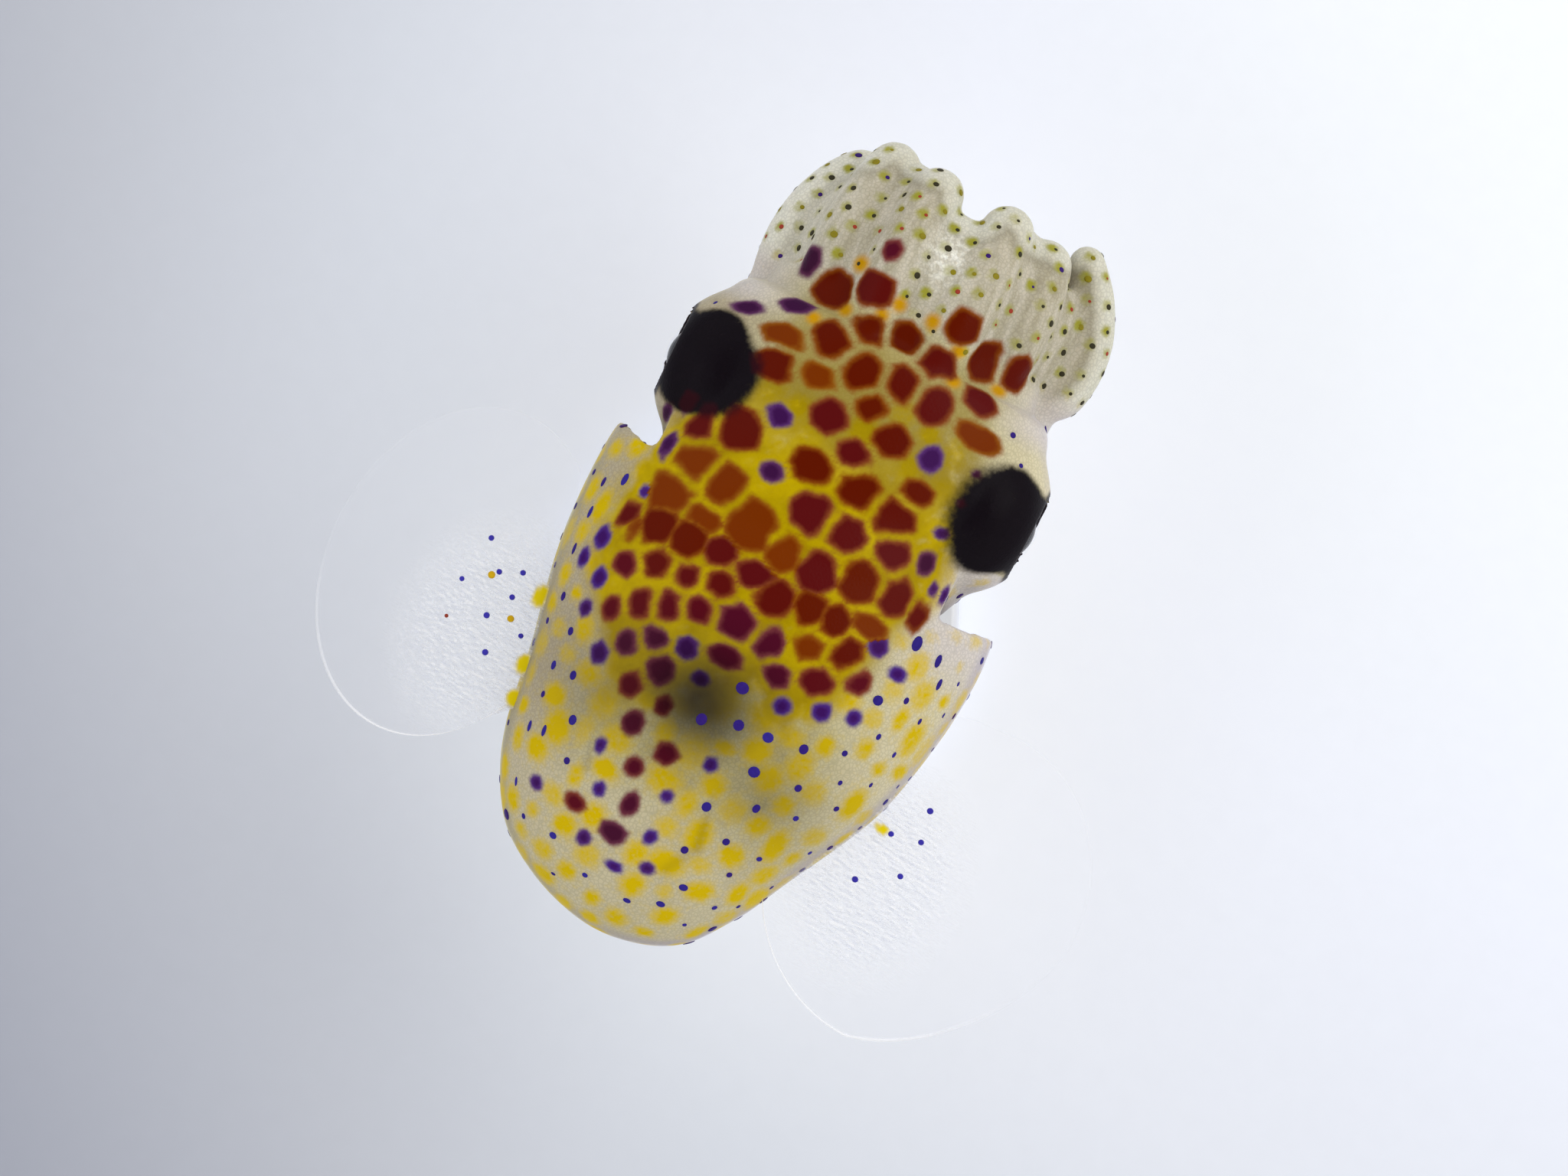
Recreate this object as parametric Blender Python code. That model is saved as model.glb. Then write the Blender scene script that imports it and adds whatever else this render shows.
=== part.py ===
"""A hatchling of the Hawaiian bobtail squid as closed solids, held level on a plain display stand.

Shapes are drawn in millimetres and turned to metres when they are done. The head points along -Y, the
animal's left side is +X and its back is +Z. The origin is the centre of the underside of the stand.
The animal itself is drawn about its neck, where the mantle opens, and then lifted onto the stand.
"""
import math
import random

import bmesh
import bpy
from mathutils import Matrix, Vector

for old_object in list(bpy.data.objects):
    bpy.data.objects.remove(old_object)

METRES_PER_MM = 0.001
GAP = 0.02  # water left between neighbours that touch in life
SHARP_ANGLE = math.radians(40)  # edges that turn by more than this stay crisp

# Display stand
BASE_RADIUS = 0.85
BASE_THICKNESS = 0.28
BASE_BEVEL = 0.04
BASE_SIDES = 40
ROD_RADIUS = 0.07
ROD_PAD_RADIUS = 0.15
ROD_PAD_HEIGHT = 0.07
ROD_PAD_RIM = 0.02
ROD_SIDES = 24
ROD_HEIGHT = 0.72  # from the base to the belly

# Where the neck of the animal is, so that its weight is over the stand
NECK_Y = -0.29
BELLY_DEPTH = 0.70
NECK_Z = BASE_THICKNESS + ROD_HEIGHT + BELLY_DEPTH

# Mantle, from its front edge to its rounded tail: distance behind the neck, half width, height, depth
MANTLE_ROWS = (
    (-0.02, 0.930, 0.575, 0.650),
    (0.12, 0.943, 0.600, 0.680),
    (0.33, 0.934, 0.620, 0.700),
    (0.66, 0.880, 0.615, 0.690),
    (0.98, 0.795, 0.575, 0.640),
    (1.31, 0.675, 0.490, 0.540),
    (1.51, 0.575, 0.410, 0.440),
    (1.67, 0.445, 0.310, 0.330),
    (1.78, 0.265, 0.185, 0.190),
    (1.835, 0.0, 0.0, 0.0),
)
MANTLE_ROUNDNESS = 2.15
MANTLE_SIDES = 40
MANTLE_RINGS = 19
MANTLE_WALL = 0.055  # thickness of the free edge
MANTLE_POCKET_DEPTH = 0.50  # how far the opening runs in behind the edge
POCKET_THICKENING = 0.10  # what the wall gains from the edge to the bottom of the opening
POCKET_STEPS = 5
EDGE_ROUNDING = 0.4  # how far the edge is rounded out, as a share of the wall
EDGE_SKEW = 0.058  # the left corner of the edge lies this far ahead, the right one behind
EDGE_CORNER = 0.07  # both side corners reach ahead of the back
EDGE_CORNER_POWER = 4
EDGE_NOTCH = 0.09  # the edge is drawn back under the funnel
EDGE_NOTCH_SHARE = 0.55  # half the notch's width, as a share of the mantle's
EDGE_FADE = 0.45  # length over which the mantle settles to plain rings
TAIL_BEND = 0.078  # the tail leans this far to the left, and its end comes most of the way back
TAIL_BEND_START = 0.75
TAIL_BEND_FULL = 0.60  # share of the tail's length at which it leans most
TAIL_RETURN_START = 0.75
TAIL_RETURN = 0.70

# Head, from the end of the neck to its flat front: distance, half width, height, depth
HEAD_ROWS = (
    (0.38, 0.0, 0.0, 0.0),
    (0.35, 0.240, 0.200, 0.150),
    (0.24, 0.480, 0.400, 0.250),
    (0.10, 0.610, 0.490, 0.310),
    (-0.02, 0.670, 0.508, 0.330),
    (-0.15, 0.725, 0.530, 0.350),
    (-0.30, 0.765, 0.540, 0.370),
    (-0.50, 0.790, 0.540, 0.400),
    (-0.70, 0.795, 0.520, 0.440),
    (-0.85, 0.770, 0.505, 0.475),
    (-0.945, 0.725, 0.480, 0.470),
    (-0.975, 0.640, 0.430, 0.430),
    (-0.980, 0.300, 0.200, 0.200),
    (-0.980, 0.0, 0.0, 0.0),
)
HEAD_ROUNDNESS = 2.2
HEAD_SIDES = 40
HEAD_RINGS = 21
HEAD_FRONT = -0.98
EYE_BULB_CENTRE = Vector((0.635, -0.53, 0.06))
EYE_BULB_RADII = Vector((0.275, 0.36, 0.34))
BULB_BLEND = 0.05
LIP_RADIUS = 0.10
LIP_LENGTH = 0.08
LIP_PROFILE = ((-0.05, 0.8), (0.35, 1.0), (0.8, 0.75), (1.0, 0.35))  # shares of the length and of the radius
LIP_SIDES = 12

# Eyes
EYE_CENTRE = Vector((0.655, -0.52, 0.07))
EYE_SKEW = 0.02  # the left eye lies this far ahead, the right one behind
EYE_RADII = Vector((0.205, 0.255, 0.24))
LENS_RADIUS = 0.105
LENS_RISE = 0.02
LID_OPENING = (0.185, 0.160)  # half length and half height between the lids
LID_REACH = 0.30
LID_SIDES = 20
SOCKET_STEPS = (22, 12)
EYE_STEPS = (18, 12)

# Funnel, below the neck
FUNNEL_PATH = ((0.12, -0.50), (-0.10, -0.49), (-0.30, -0.53), (-0.47, -0.60))
FUNNEL_RADII = (0.085, 0.125, 0.115, 0.085)
FUNNEL_BORE = 0.055
FUNNEL_BORE_DEPTH = 0.16
FUNNEL_BORE_TAPER = 0.8
FUNNEL_RIM = 0.01
FUNNEL_ROUNDING = 0.5  # how far the rear end is rounded out, as a share of its radius
FUNNEL_SIDES = 16
FUNNEL_RINGS = 9

# Arms: a path from the root on the head to the tip, and the radius at the root
ARM_ROOT_Y = HEAD_FRONT - GAP
ARM_PATHS = {
    "arm_left_1": ((0.155, 0.33), (0.165, -1.33, 0.340), (0.155, -1.630, 0.230), 0.138),
    "arm_left_2": ((0.385, 0.15), (0.410, -1.34, 0.160), (0.370, -1.650, 0.050), 0.138),
    "arm_left_3": ((0.575, -0.13), (0.585, -1.31, -0.140), (0.480, -1.560, -0.200), 0.145),
    "arm_left_4": ((0.240, -0.31), (0.275, -1.30, -0.370), (0.215, -1.550, -0.330), 0.142),
    "arm_right_1": ((-0.155, 0.33), (-0.175, -1.32, 0.340), (-0.185, -1.620, 0.240), 0.138),
    "arm_right_2": ((-0.385, 0.15), (-0.415, -1.31, 0.160), (-0.395, -1.570, 0.080), 0.138),
    "arm_right_3": ((-0.590, -0.13), (-0.695, -1.31, -0.120), (-0.555, -1.665, -0.070), 0.145),
    "arm_right_4": ((-0.240, -0.31), (-0.320, -1.31, -0.370), (-0.360, -1.560, -0.320), 0.142),
}
ARM_TAPER = ((0.0, 1.0), (0.3, 1.02), (0.6, 0.97), (0.85, 0.92), (1.0, 0.86))  # blunt, so that they close up
CURLED_ARM = "arm_right_3"
CURLED_TAPER = ((0.0, 1.0), (0.2, 1.05), (0.6, 0.90), (0.85, 0.74), (1.0, 0.56))
ROOT_SHARE = 0.35  # the part of a limb over which its sections turn from its root
ARM_SIDES = 12
ARM_RINGS = 11
TIP_TURNS = (30, 60)  # degrees round the tip at which it has a ring

# Suckers, in two rows along the side of each arm that faces the mouth. Sizes past the first are shares of it.
SUCKER_RADIUS = 0.040
SUCKER_TIP_SHARE = 0.45
SUCKER_PITCH = 1.50  # from one sucker to the next, which is in the other row
SUCKER_ROW_ANGLE = math.radians(33)
SUCKER_SIDES = 6
SUCKER_PROFILE = ((-0.75, 0.55), (0.15, 0.60), (0.60, 1.00), (0.78, 0.72), (0.45, 0.0))
SUCKER_START = 0.10  # where the rows begin, as a share of the arm's length
SUCKER_VARIATION = 0.08
SUCKER_SEED = 11

# Tentacles, drawn back between the arms
TENTACLE_ROOT = (0.275, -0.03)
TENTACLE_RADIUS = 0.062
TENTACLE_LENGTH = 0.40
TENTACLE_SAG = 0.01
TENTACLE_DRAW_IN = 0.03
TENTACLE_SIDES = 10
TENTACLE_RINGS = 9
TENTACLE_TAPER = ((0.0, 1.0), (0.55, 0.85), (0.8, 1.15), (1.0, 0.75))
CLUB_SUCKER_RADIUS = 0.021
CLUB_START = 0.60

# Fins: the oval seen from above, how its middle and tip lift, and its thickness
FIN_LEFT = {
    "centre": (1.262, 0.74), "radii": (0.540, 0.740), "arc": (-122, 150), "root": (0.40, 1.16),
    "lift": 0.42, "wave": 0.035,
}
FIN_RIGHT = {
    "centre": (-1.130, 1.02), "radii": (0.680, 0.735), "arc": (-112, 152), "root": (0.44, 1.35),
    "lift": 0.10, "wave": 0.045,
}
FIN_ROOT_Z = 0.10
FIN_ROOT_THICKNESS = 0.075
FIN_EDGE_THICKNESS = 0.030
FIN_REACH = 0.95  # how far a fin stands out from the mantle
FIN_LIFT_POWER = 1.4
FIN_WAVES = 1.5
FIN_STEPS_ALONG = 24
FIN_STEPS_OUT = 6
WALL_ROWS = 60  # rows between which the mantle's wall is read for the fins


def colour_of(hex_text):
    """Linear colour of an sRGB hex value."""
    shares = [int(hex_text[i:i + 2], 16) / 255 for i in (0, 2, 4)]
    linear = [s / 12.92 if s <= 0.04045 else ((s + 0.055) / 1.055) ** 2.4 for s in shares]
    return (*linear, 1.0)


def material(name, hex_text, roughness):
    """A plain finish for one kind of sub-part."""
    made = bpy.data.materials.get(name)
    if made is None:
        made = bpy.data.materials.new(name)
        made.use_nodes = True
        shader = made.node_tree.nodes["Principled BSDF"]
        shader.inputs["Base Color"].default_value = colour_of(hex_text)
        shader.inputs["Roughness"].default_value = roughness
        shader.inputs["Metallic"].default_value = 0.0
    return made


def smooth_rows(rows, count, mirror_ends=(False, False)):
    """Rows read at even steps from a smooth curve through the given rows.

    A mirrored end has a row of zero width, and the curve meets it square to the long axis.
    """
    first = mirrored(rows[0], rows[1]) if mirror_ends[0] else extended(rows[0], rows[1])
    last = mirrored(rows[-1], rows[-2]) if mirror_ends[1] else extended(rows[-1], rows[-2])
    padded = [first, *rows, last]
    lengths = [math.dist(padded[i][:2], padded[i + 1][:2]) for i in range(len(padded) - 1)]
    starts = [0.0]
    for length in lengths[1:-1]:
        starts.append(starts[-1] + length)
    result = []
    for step in range(count):
        place = starts[-1] * step / (count - 1)
        span = max(i for i in range(len(starts) - 1) if place >= starts[i] - 1e-9)
        share = (place - starts[span]) / lengths[span + 1]
        near = lengths[span:span + 3]
        result.append(curve_point(padded[span:span + 4], near, min(share, 1.0)))
    return result


def mirrored(end, inner):
    """The row past an end that mirrors the inner row's widths."""
    return (inner[0], *(2 * e - i for e, i in zip(end[1:], inner[1:])))


def extended(end, inner):
    """The row past an end that carries its slope on."""
    return tuple(2 * e - i for e, i in zip(end, inner))


def curve_point(four, lengths, share):
    """A point between the middle two of four rows, on a curve that passes through all of them."""
    before, here, there, after = four
    point = []
    for b, h, t, a in zip(before, here, there, after):
        slope_here = ((h - b) / lengths[0] + (t - h) / lengths[1]) / 2 * lengths[1]
        slope_there = ((t - h) / lengths[1] + (a - t) / lengths[2]) / 2 * lengths[1]
        s2 = share * share
        s3 = s2 * share
        value = (2 * s3 - 3 * s2 + 1) * h + (s3 - 2 * s2 + share) * slope_here
        point.append(value + (3 * s2 - 2 * s3) * t + (s3 - s2) * slope_there)
    return tuple(point)


def read_between(pairs, at):
    """A value read from a short list of (place, value), eased between its places."""
    for (p0, v0), (p1, v1) in zip(pairs, pairs[1:]):
        if at <= p1:
            share = max(0.0, (at - p0) / (p1 - p0))
            return v0 + (v1 - v0) * share
    return pairs[-1][1]


def section_point(row, angle, roundness):
    """A point of a body's cross-section. Angle 0 is the left side and 90 degrees the back."""
    y, half_width, height, depth = row
    c = math.cos(angle)
    s = math.sin(angle)
    x = half_width * math.copysign(abs(c) ** (2 / roundness), c)
    z = (height if s > 0 else depth) * math.copysign(abs(s) ** (2 / roundness), s)
    return Vector((x, y, z))


def rings_to_bmesh(rings, closed_start=True, closed_end=True):
    """A closed surface over rings of points. A ring of one point is a pole."""
    bm = bmesh.new()
    made = [[bm.verts.new(p) for p in ring] for ring in rings]
    for near, far in zip(made, made[1:]):
        count = max(len(near), len(far))
        for i in range(count):
            j = (i + 1) % count
            if len(near) == 1:
                bm.faces.new((near[0], far[j], far[i]))
            elif len(far) == 1:
                bm.faces.new((near[i], near[j], far[0]))
            else:
                bm.faces.new((near[i], near[j], far[j], far[i]))
    if closed_start and len(made[0]) > 1:
        bm.faces.new(reversed(made[0]))
    if closed_end and len(made[-1]) > 1:
        bm.faces.new(made[-1])
    bmesh.ops.recalc_face_normals(bm, faces=bm.faces)
    return bm


def place(name, bm, finish, offset=(0.0, NECK_Y, NECK_Z)):
    """An object from a mesh drawn about the neck, still in millimetres."""
    bmesh.ops.translate(bm, vec=Vector(offset), verts=bm.verts)
    mesh = bpy.data.meshes.new(name)
    bm.to_mesh(mesh)
    bm.free()
    mesh.materials.append(finish)
    made = bpy.data.objects.new(name, mesh)
    bpy.context.scene.collection.objects.link(made)
    return made


def apply_modifiers(target):
    """Put the evaluated shape into the object's own mesh."""
    graph = bpy.context.evaluated_depsgraph_get()
    graph.update()
    mesh = bpy.data.meshes.new_from_object(target.evaluated_get(graph))
    target.modifiers.clear()
    target.data = mesh


def combine(target, others, operation):
    """One Boolean of an object with a collection of closed objects, which are then removed."""
    group = bpy.data.collections.new(f"{target.name}_operands")
    bpy.context.scene.collection.children.link(group)
    for other in others:
        bpy.context.scene.collection.objects.unlink(other)
        group.objects.link(other)
    step = target.modifiers.new("combine", "BOOLEAN")
    step.operation = operation
    step.operand_type = "COLLECTION"
    step.collection = group
    step.solver = "EXACT"
    apply_modifiers(target)
    for other in others:
        bpy.data.objects.remove(other)
    bpy.data.collections.remove(group)


def mantle_row_shift(point):
    """How far the free edge lies ahead of or behind a plain ring at this point."""
    front = MANTLE_ROWS[0][0]
    fade = max(0.0, 1.0 - (point.y - front) / EDGE_FADE)
    fade = fade * fade * (3 - 2 * fade)
    half_width = MANTLE_ROWS[0][1]
    side = point.x / half_width
    corner = abs(side) ** EDGE_CORNER_POWER
    under = 0.0
    if point.z < 0:
        under = (point.z / MANTLE_ROWS[0][3]) ** 2 * max(0.0, 1.0 - (side / EDGE_NOTCH_SHARE) ** 2)
    return fade * (EDGE_NOTCH * under - EDGE_CORNER * corner - EDGE_SKEW * side)


def tail_shift(y):
    """How far the middle line of the mantle has turned to the left at this distance behind the neck."""
    share = (y - TAIL_BEND_START) / (MANTLE_ROWS[-1][0] - TAIL_BEND_START)
    leaning = math.sin(math.pi / 2 * min(1.0, max(0.0, share / TAIL_BEND_FULL))) ** 2
    returning = (share - TAIL_RETURN_START) / (1.0 - TAIL_RETURN_START)
    returning = math.sin(math.pi / 2 * min(1.0, max(0.0, returning))) ** 2
    return TAIL_BEND * leaning * (1.0 - TAIL_RETURN * returning)


def mantle_ring(row):
    """One ring of the mantle's outer or inner wall."""
    shift = Vector((tail_shift(row[0]), 0.0, 0.0))
    if row[1] < 1e-6:
        return [Vector((0.0, row[0], 0.0)) + shift]
    angles = (math.tau * i / MANTLE_SIDES for i in range(MANTLE_SIDES))
    ring = [section_point(row, angle, MANTLE_ROUNDNESS) for angle in angles]
    for point in ring:
        point.y += mantle_row_shift(point)
    return [point + shift for point in ring]


def mantle():
    """The sac of the body: a bell with a pocket at the front that the neck and the funnel lie in."""
    outer = smooth_rows(MANTLE_ROWS, MANTLE_RINGS, mirror_ends=(False, True))
    front = MANTLE_ROWS[0][0]
    pocket = []
    for step in range(POCKET_STEPS + 1):
        share = step / POCKET_STEPS
        y = front + MANTLE_POCKET_DEPTH * share
        wall = MANTLE_WALL + POCKET_THICKENING * share * share
        narrowing = math.sqrt(max(0.0, 1.0 - share ** 4))
        row = row_at(outer, y)
        pocket.append((y, *(max(0.0, (size - wall) * narrowing) for size in row[1:])))
    lip = row_at(outer, front)
    middle = (front - MANTLE_WALL * EDGE_ROUNDING, *(size - MANTLE_WALL / 2 for size in lip[1:]))
    rings = [mantle_ring(row) for row in (*reversed(pocket), middle, *outer)]
    return place("mantle", rings_to_bmesh(rings), material("flesh", "C9BC98", 0.35))


def row_at(rows, y):
    """The half width, height and depth at one distance behind the neck."""
    for near, far in zip(rows, rows[1:]):
        if near[0] <= y <= far[0]:
            share = (y - near[0]) / (far[0] - near[0])
            return tuple(n + (f - n) * share for n, f in zip(near, far))
    return rows[0] if y < rows[0][0] else rows[-1]


def bulb_reach(y, direction):
    """Distance from the long axis to the far side of an eye bulb, or nothing where it is missed."""
    centre = Vector((math.copysign(EYE_BULB_CENTRE.x, direction.x), EYE_BULB_CENTRE.z))
    middle_y = EYE_BULB_CENTRE.y - math.copysign(EYE_SKEW, direction.x)
    share = 1.0 - ((y - middle_y) / EYE_BULB_RADII.y) ** 2
    if share <= 0:
        return 0.0
    radii = Vector((EYE_BULB_RADII.x, EYE_BULB_RADII.z)) * math.sqrt(share)
    d = Vector((direction.x / radii.x, direction.y / radii.y))
    c = Vector((centre.x / radii.x, centre.y / radii.y))
    inside = d.dot(c) ** 2 - d.length_squared * (c.length_squared - 1)
    if inside <= 0:
        return 0.0
    return (d.dot(c) + math.sqrt(inside)) / d.length_squared


def head_ring(row):
    """One ring of the head, swollen at both sides by the bulbs that hold the eyes."""
    if row[1] < 1e-6:
        return [Vector((0.0, row[0], 0.0))]
    ring = []
    for i in range(HEAD_SIDES):
        point = section_point(row, math.tau * i / HEAD_SIDES, HEAD_ROUNDNESS)
        across = Vector((point.x, point.z))
        plain = across.length
        bulb = bulb_reach(point.y, across / plain)
        spread = max(0.0, BULB_BLEND - abs(plain - bulb)) / BULB_BLEND if bulb > 0 else 0.0
        reach = max(plain, bulb) + spread * spread * BULB_BLEND / 4
        ring.append(Vector((point.x * reach / plain, point.y, point.z * reach / plain)))
    return ring


def ellipsoid(centre, radii, steps):
    """A closed ball stretched to three radii, with its poles to the left and right."""
    bm = bmesh.new()
    bmesh.ops.create_uvsphere(bm, u_segments=steps[0], v_segments=steps[1], radius=1.0)
    bmesh.ops.rotate(bm, verts=bm.verts, cent=(0, 0, 0), matrix=Matrix.Rotation(math.pi / 2, 3, "Y"))
    bmesh.ops.scale(bm, vec=radii, verts=bm.verts)
    bmesh.ops.translate(bm, vec=centre, verts=bm.verts)
    return bm


def eye_place(side):
    """The centre of the left (1) or the right (-1) eye."""
    return Vector((EYE_CENTRE.x * side, EYE_CENTRE.y - EYE_SKEW * side, EYE_CENTRE.z))


def lid_cutter(side):
    """An oval bar that opens the lids in front of one eye."""
    centre = eye_place(side)
    rings = []
    for x in (centre.x, centre.x + side * LID_REACH):
        ring = []
        for i in range(LID_SIDES):
            angle = math.tau * i / LID_SIDES
            y = centre.y + LID_OPENING[0] * math.cos(angle)
            ring.append(Vector((x, y, centre.z + LID_OPENING[1] * math.sin(angle))))
        rings.append(ring)
    return rings_to_bmesh(rings)


def head():
    """The head and neck in one, with the mouth's lip in front and an open socket for each eye."""
    swollen = smooth_rows(HEAD_ROWS, HEAD_RINGS, mirror_ends=(True, False))
    rings = [head_ring(row) for row in swollen[:-1]] + [[Vector((0.0, HEAD_FRONT, 0.0))]]
    finish = material("flesh", "C9BC98", 0.35)
    made = place("head", rings_to_bmesh(rings), finish)
    lip = []
    for along, wide in LIP_PROFILE:
        y = HEAD_FRONT - LIP_LENGTH * along
        radius = LIP_RADIUS * wide
        lip.append([Vector((radius * math.cos(a), y, radius * math.sin(a)))
                    for a in (math.tau * i / LIP_SIDES for i in range(LIP_SIDES))])
    combine(made, [place("lip", rings_to_bmesh(lip), finish)], "UNION")
    hollows = []
    for side in (1, -1):
        room = EYE_RADII + Vector((GAP, GAP, GAP))
        hollows.append(place("socket", ellipsoid(eye_place(side), room, SOCKET_STEPS), finish))
        hollows.append(place("lids", lid_cutter(side), finish))
    combine(made, hollows, "DIFFERENCE")
    return made


def eye(name, side):
    """An eyeball with the lens standing slightly proud at its outer side."""
    centre = eye_place(side)
    bm = ellipsoid(centre, EYE_RADII, EYE_STEPS)
    for vert in bm.verts:
        off_axis = math.hypot(vert.co.y - centre.y, vert.co.z - centre.z)
        if (vert.co.x - centre.x) * side > 0 and off_axis < LENS_RADIUS:
            vert.co.x += side * LENS_RISE * (1 - (off_axis / LENS_RADIUS) ** 2)
    return place(name, bm, material("eye", "120D14", 0.08))


def path_point(points, share):
    """A point on the smooth curve through a root, a middle and a tip."""
    root, middle, tip = (Vector(p) for p in points)
    bend = middle * 2 - (root + tip) / 2
    return root * (1 - share) ** 2 + bend * (2 * share * (1 - share)) + tip * share ** 2


def path_frame(points, share):
    """Centre, direction, and the side that faces the middle line of the crown, on a limb's path.

    The sections turn gradually from the flat root to lie square to the path.
    """
    step = 0.01
    centre = path_point(points, share)
    along = (path_point(points, share + step) - path_point(points, share - step)).normalized()
    along = Vector((0.0, -1.0, 0.0)).lerp(along, min(1.0, share / ROOT_SHARE)).normalized()
    inward = Vector((-centre.x, 0.0, -centre.z))
    inward = (inward - along * inward.dot(along)).normalized()
    return centre, along, inward


def limb(points, radius, taper, sides, ring_count):
    """A tapering limb with a flat root and a rounded tip, as a closed surface."""
    rings = []
    tip_radius = radius * taper[-1][1]
    for step in range(ring_count + 1):
        share = step / ring_count
        centre, along, inward = path_frame(points, share)
        across = along.cross(inward)
        wide = radius * read_between(taper, share)
        rings.append([centre + (inward * math.cos(a) + across * math.sin(a)) * wide
                      for a in (math.tau * i / sides for i in range(sides))])
    centre, along, inward = path_frame(points, 1.0)
    across = along.cross(inward)
    for turn in TIP_TURNS:
        out = math.radians(turn)
        middle = centre + along * tip_radius * math.sin(out)
        rings.append([middle + (inward * math.cos(a) + across * math.sin(a)) * tip_radius * math.cos(out)
                      for a in (math.tau * i / sides for i in range(sides))])
    rings.append([centre + along * tip_radius])
    return rings_to_bmesh(rings)


def sucker(centre, outward, radius, finish):
    """A short cup on a narrow neck, whose root is sunk into the limb below it."""
    side = outward.orthogonal().normalized()
    ahead = outward.cross(side)
    rings = []
    for height, width in SUCKER_PROFILE:
        middle = centre + outward * height * radius
        if width == 0:
            rings.append([middle])
        else:
            rings.append([middle + (side * math.cos(a) + ahead * math.sin(a)) * width * radius
                          for a in (math.tau * i / SUCKER_SIDES for i in range(SUCKER_SIDES))])
    return place("sucker", rings_to_bmesh(rings), finish)


def sucker_rows(points, radius, taper, size, start, draw, finish):
    """Suckers in two staggered rows from a share of the limb's length to its tip."""
    length = (Vector(points[1]) - Vector(points[0])).length + (Vector(points[2]) - Vector(points[1])).length
    made = []
    share = start
    row = 1
    while share < 1.0:
        centre, along, inward = path_frame(points, share)
        turn = row * SUCKER_ROW_ANGLE
        outward = inward * math.cos(turn) + along.cross(inward) * math.sin(turn)
        wide = size * (1 - (1 - SUCKER_TIP_SHARE) * share) * (1 + draw.uniform(-1, 1) * SUCKER_VARIATION)
        made.append(sucker(centre + outward * radius * read_between(taper, share), outward, wide, finish))
        share += SUCKER_PITCH * wide / length
        row = -row
    return made


def keep_largest_surface(target):
    """Drop any scrap or sealed hollow that a union has left beside the main surface."""
    bm = bmesh.new()
    bm.from_mesh(target.data)
    groups = []
    unseen = set(bm.faces)
    while unseen:
        group = {unseen.pop()}
        edge_of_search = list(group)
        while edge_of_search:
            face = edge_of_search.pop()
            for near in (f for edge in face.edges for f in edge.link_faces if f in unseen):
                unseen.discard(near)
                group.add(near)
                edge_of_search.append(near)
        groups.append(group)
    largest = max(groups, key=lambda group: sum(f.calc_area() for f in group))
    bmesh.ops.delete(bm, geom=[f for f in bm.faces if f not in largest], context="FACES")
    bm.to_mesh(target.data)
    bm.free()


def arm(name, draw):
    """One arm, from its flat root on the head to its blunt tip, with its suckers."""
    (root_x, root_z), middle, tip, radius = ARM_PATHS[name]
    points = ((root_x, ARM_ROOT_Y, root_z), middle, tip)
    taper = CURLED_TAPER if name == CURLED_ARM else ARM_TAPER
    finish = material("arm flesh", "CFC8B4", 0.35)
    made = place(name, limb(points, radius, taper, ARM_SIDES, ARM_RINGS), finish)
    rows = sucker_rows(points, radius, taper, SUCKER_RADIUS, SUCKER_START, draw, finish)
    combine(made, rows, "UNION")
    keep_largest_surface(made)


def tentacle(name, side, draw):
    """A tentacle drawn back between the arms, with small suckers on the club at its end."""
    x, z = TENTACLE_ROOT
    root = (side * x, ARM_ROOT_Y, z)
    middle = (side * x, ARM_ROOT_Y - TENTACLE_LENGTH / 2, z - TENTACLE_SAG)
    tip = (side * (x - TENTACLE_DRAW_IN), ARM_ROOT_Y - TENTACLE_LENGTH, z)
    points = (root, middle, tip)
    finish = material("arm flesh", "CFC8B4", 0.35)
    made = place(name, limb(points, TENTACLE_RADIUS, TENTACLE_TAPER, TENTACLE_SIDES, TENTACLE_RINGS), finish)
    rows = sucker_rows(points, TENTACLE_RADIUS, TENTACLE_TAPER, CLUB_SUCKER_RADIUS, CLUB_START, draw, finish)
    combine(made, rows, "UNION")
    keep_largest_surface(made)


def funnel():
    """The tube that the animal breathes and swims with, open at its front end."""
    rows = smooth_rows([(*place, r) for place, r in zip(FUNNEL_PATH, FUNNEL_RADII)], FUNNEL_RINGS)
    centres = [Vector((0.0, y, z)) for y, z, _ in rows]
    rings = [[centres[0] + Vector((0.0, rows[0][2] * FUNNEL_ROUNDING, 0.0))]]
    for i, (_, _, radius) in enumerate(rows):
        along = (centres[min(i + 1, FUNNEL_RINGS - 1)] - centres[max(i - 1, 0)]).normalized()
        rings.append(circle(centres[i], along, radius))
    mouth = (centres[-1] - centres[-2]).normalized()
    bore_end = centres[-1] - mouth * FUNNEL_BORE_DEPTH
    rings.append(circle(centres[-1] + mouth * FUNNEL_RIM, mouth, (rows[-1][2] + FUNNEL_BORE) / 2))
    rings.append(circle(centres[-1] - mouth * FUNNEL_RIM, mouth, FUNNEL_BORE))
    rings.append(circle(bore_end, mouth, FUNNEL_BORE * FUNNEL_BORE_TAPER))
    rings.append([bore_end - mouth * FUNNEL_RIM])
    return place("funnel", rings_to_bmesh(rings), material("flesh", "C9BC98", 0.35))


def circle(centre, along, radius):
    """Points of the funnel round a centre, square to a direction in the middle plane."""
    across = Vector((1.0, 0.0, 0.0))
    up = along.cross(across)
    return [centre + (across * math.cos(a) + up * math.sin(a)) * radius
            for a in (math.tau * i / FUNNEL_SIDES for i in range(FUNNEL_SIDES))]


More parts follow.
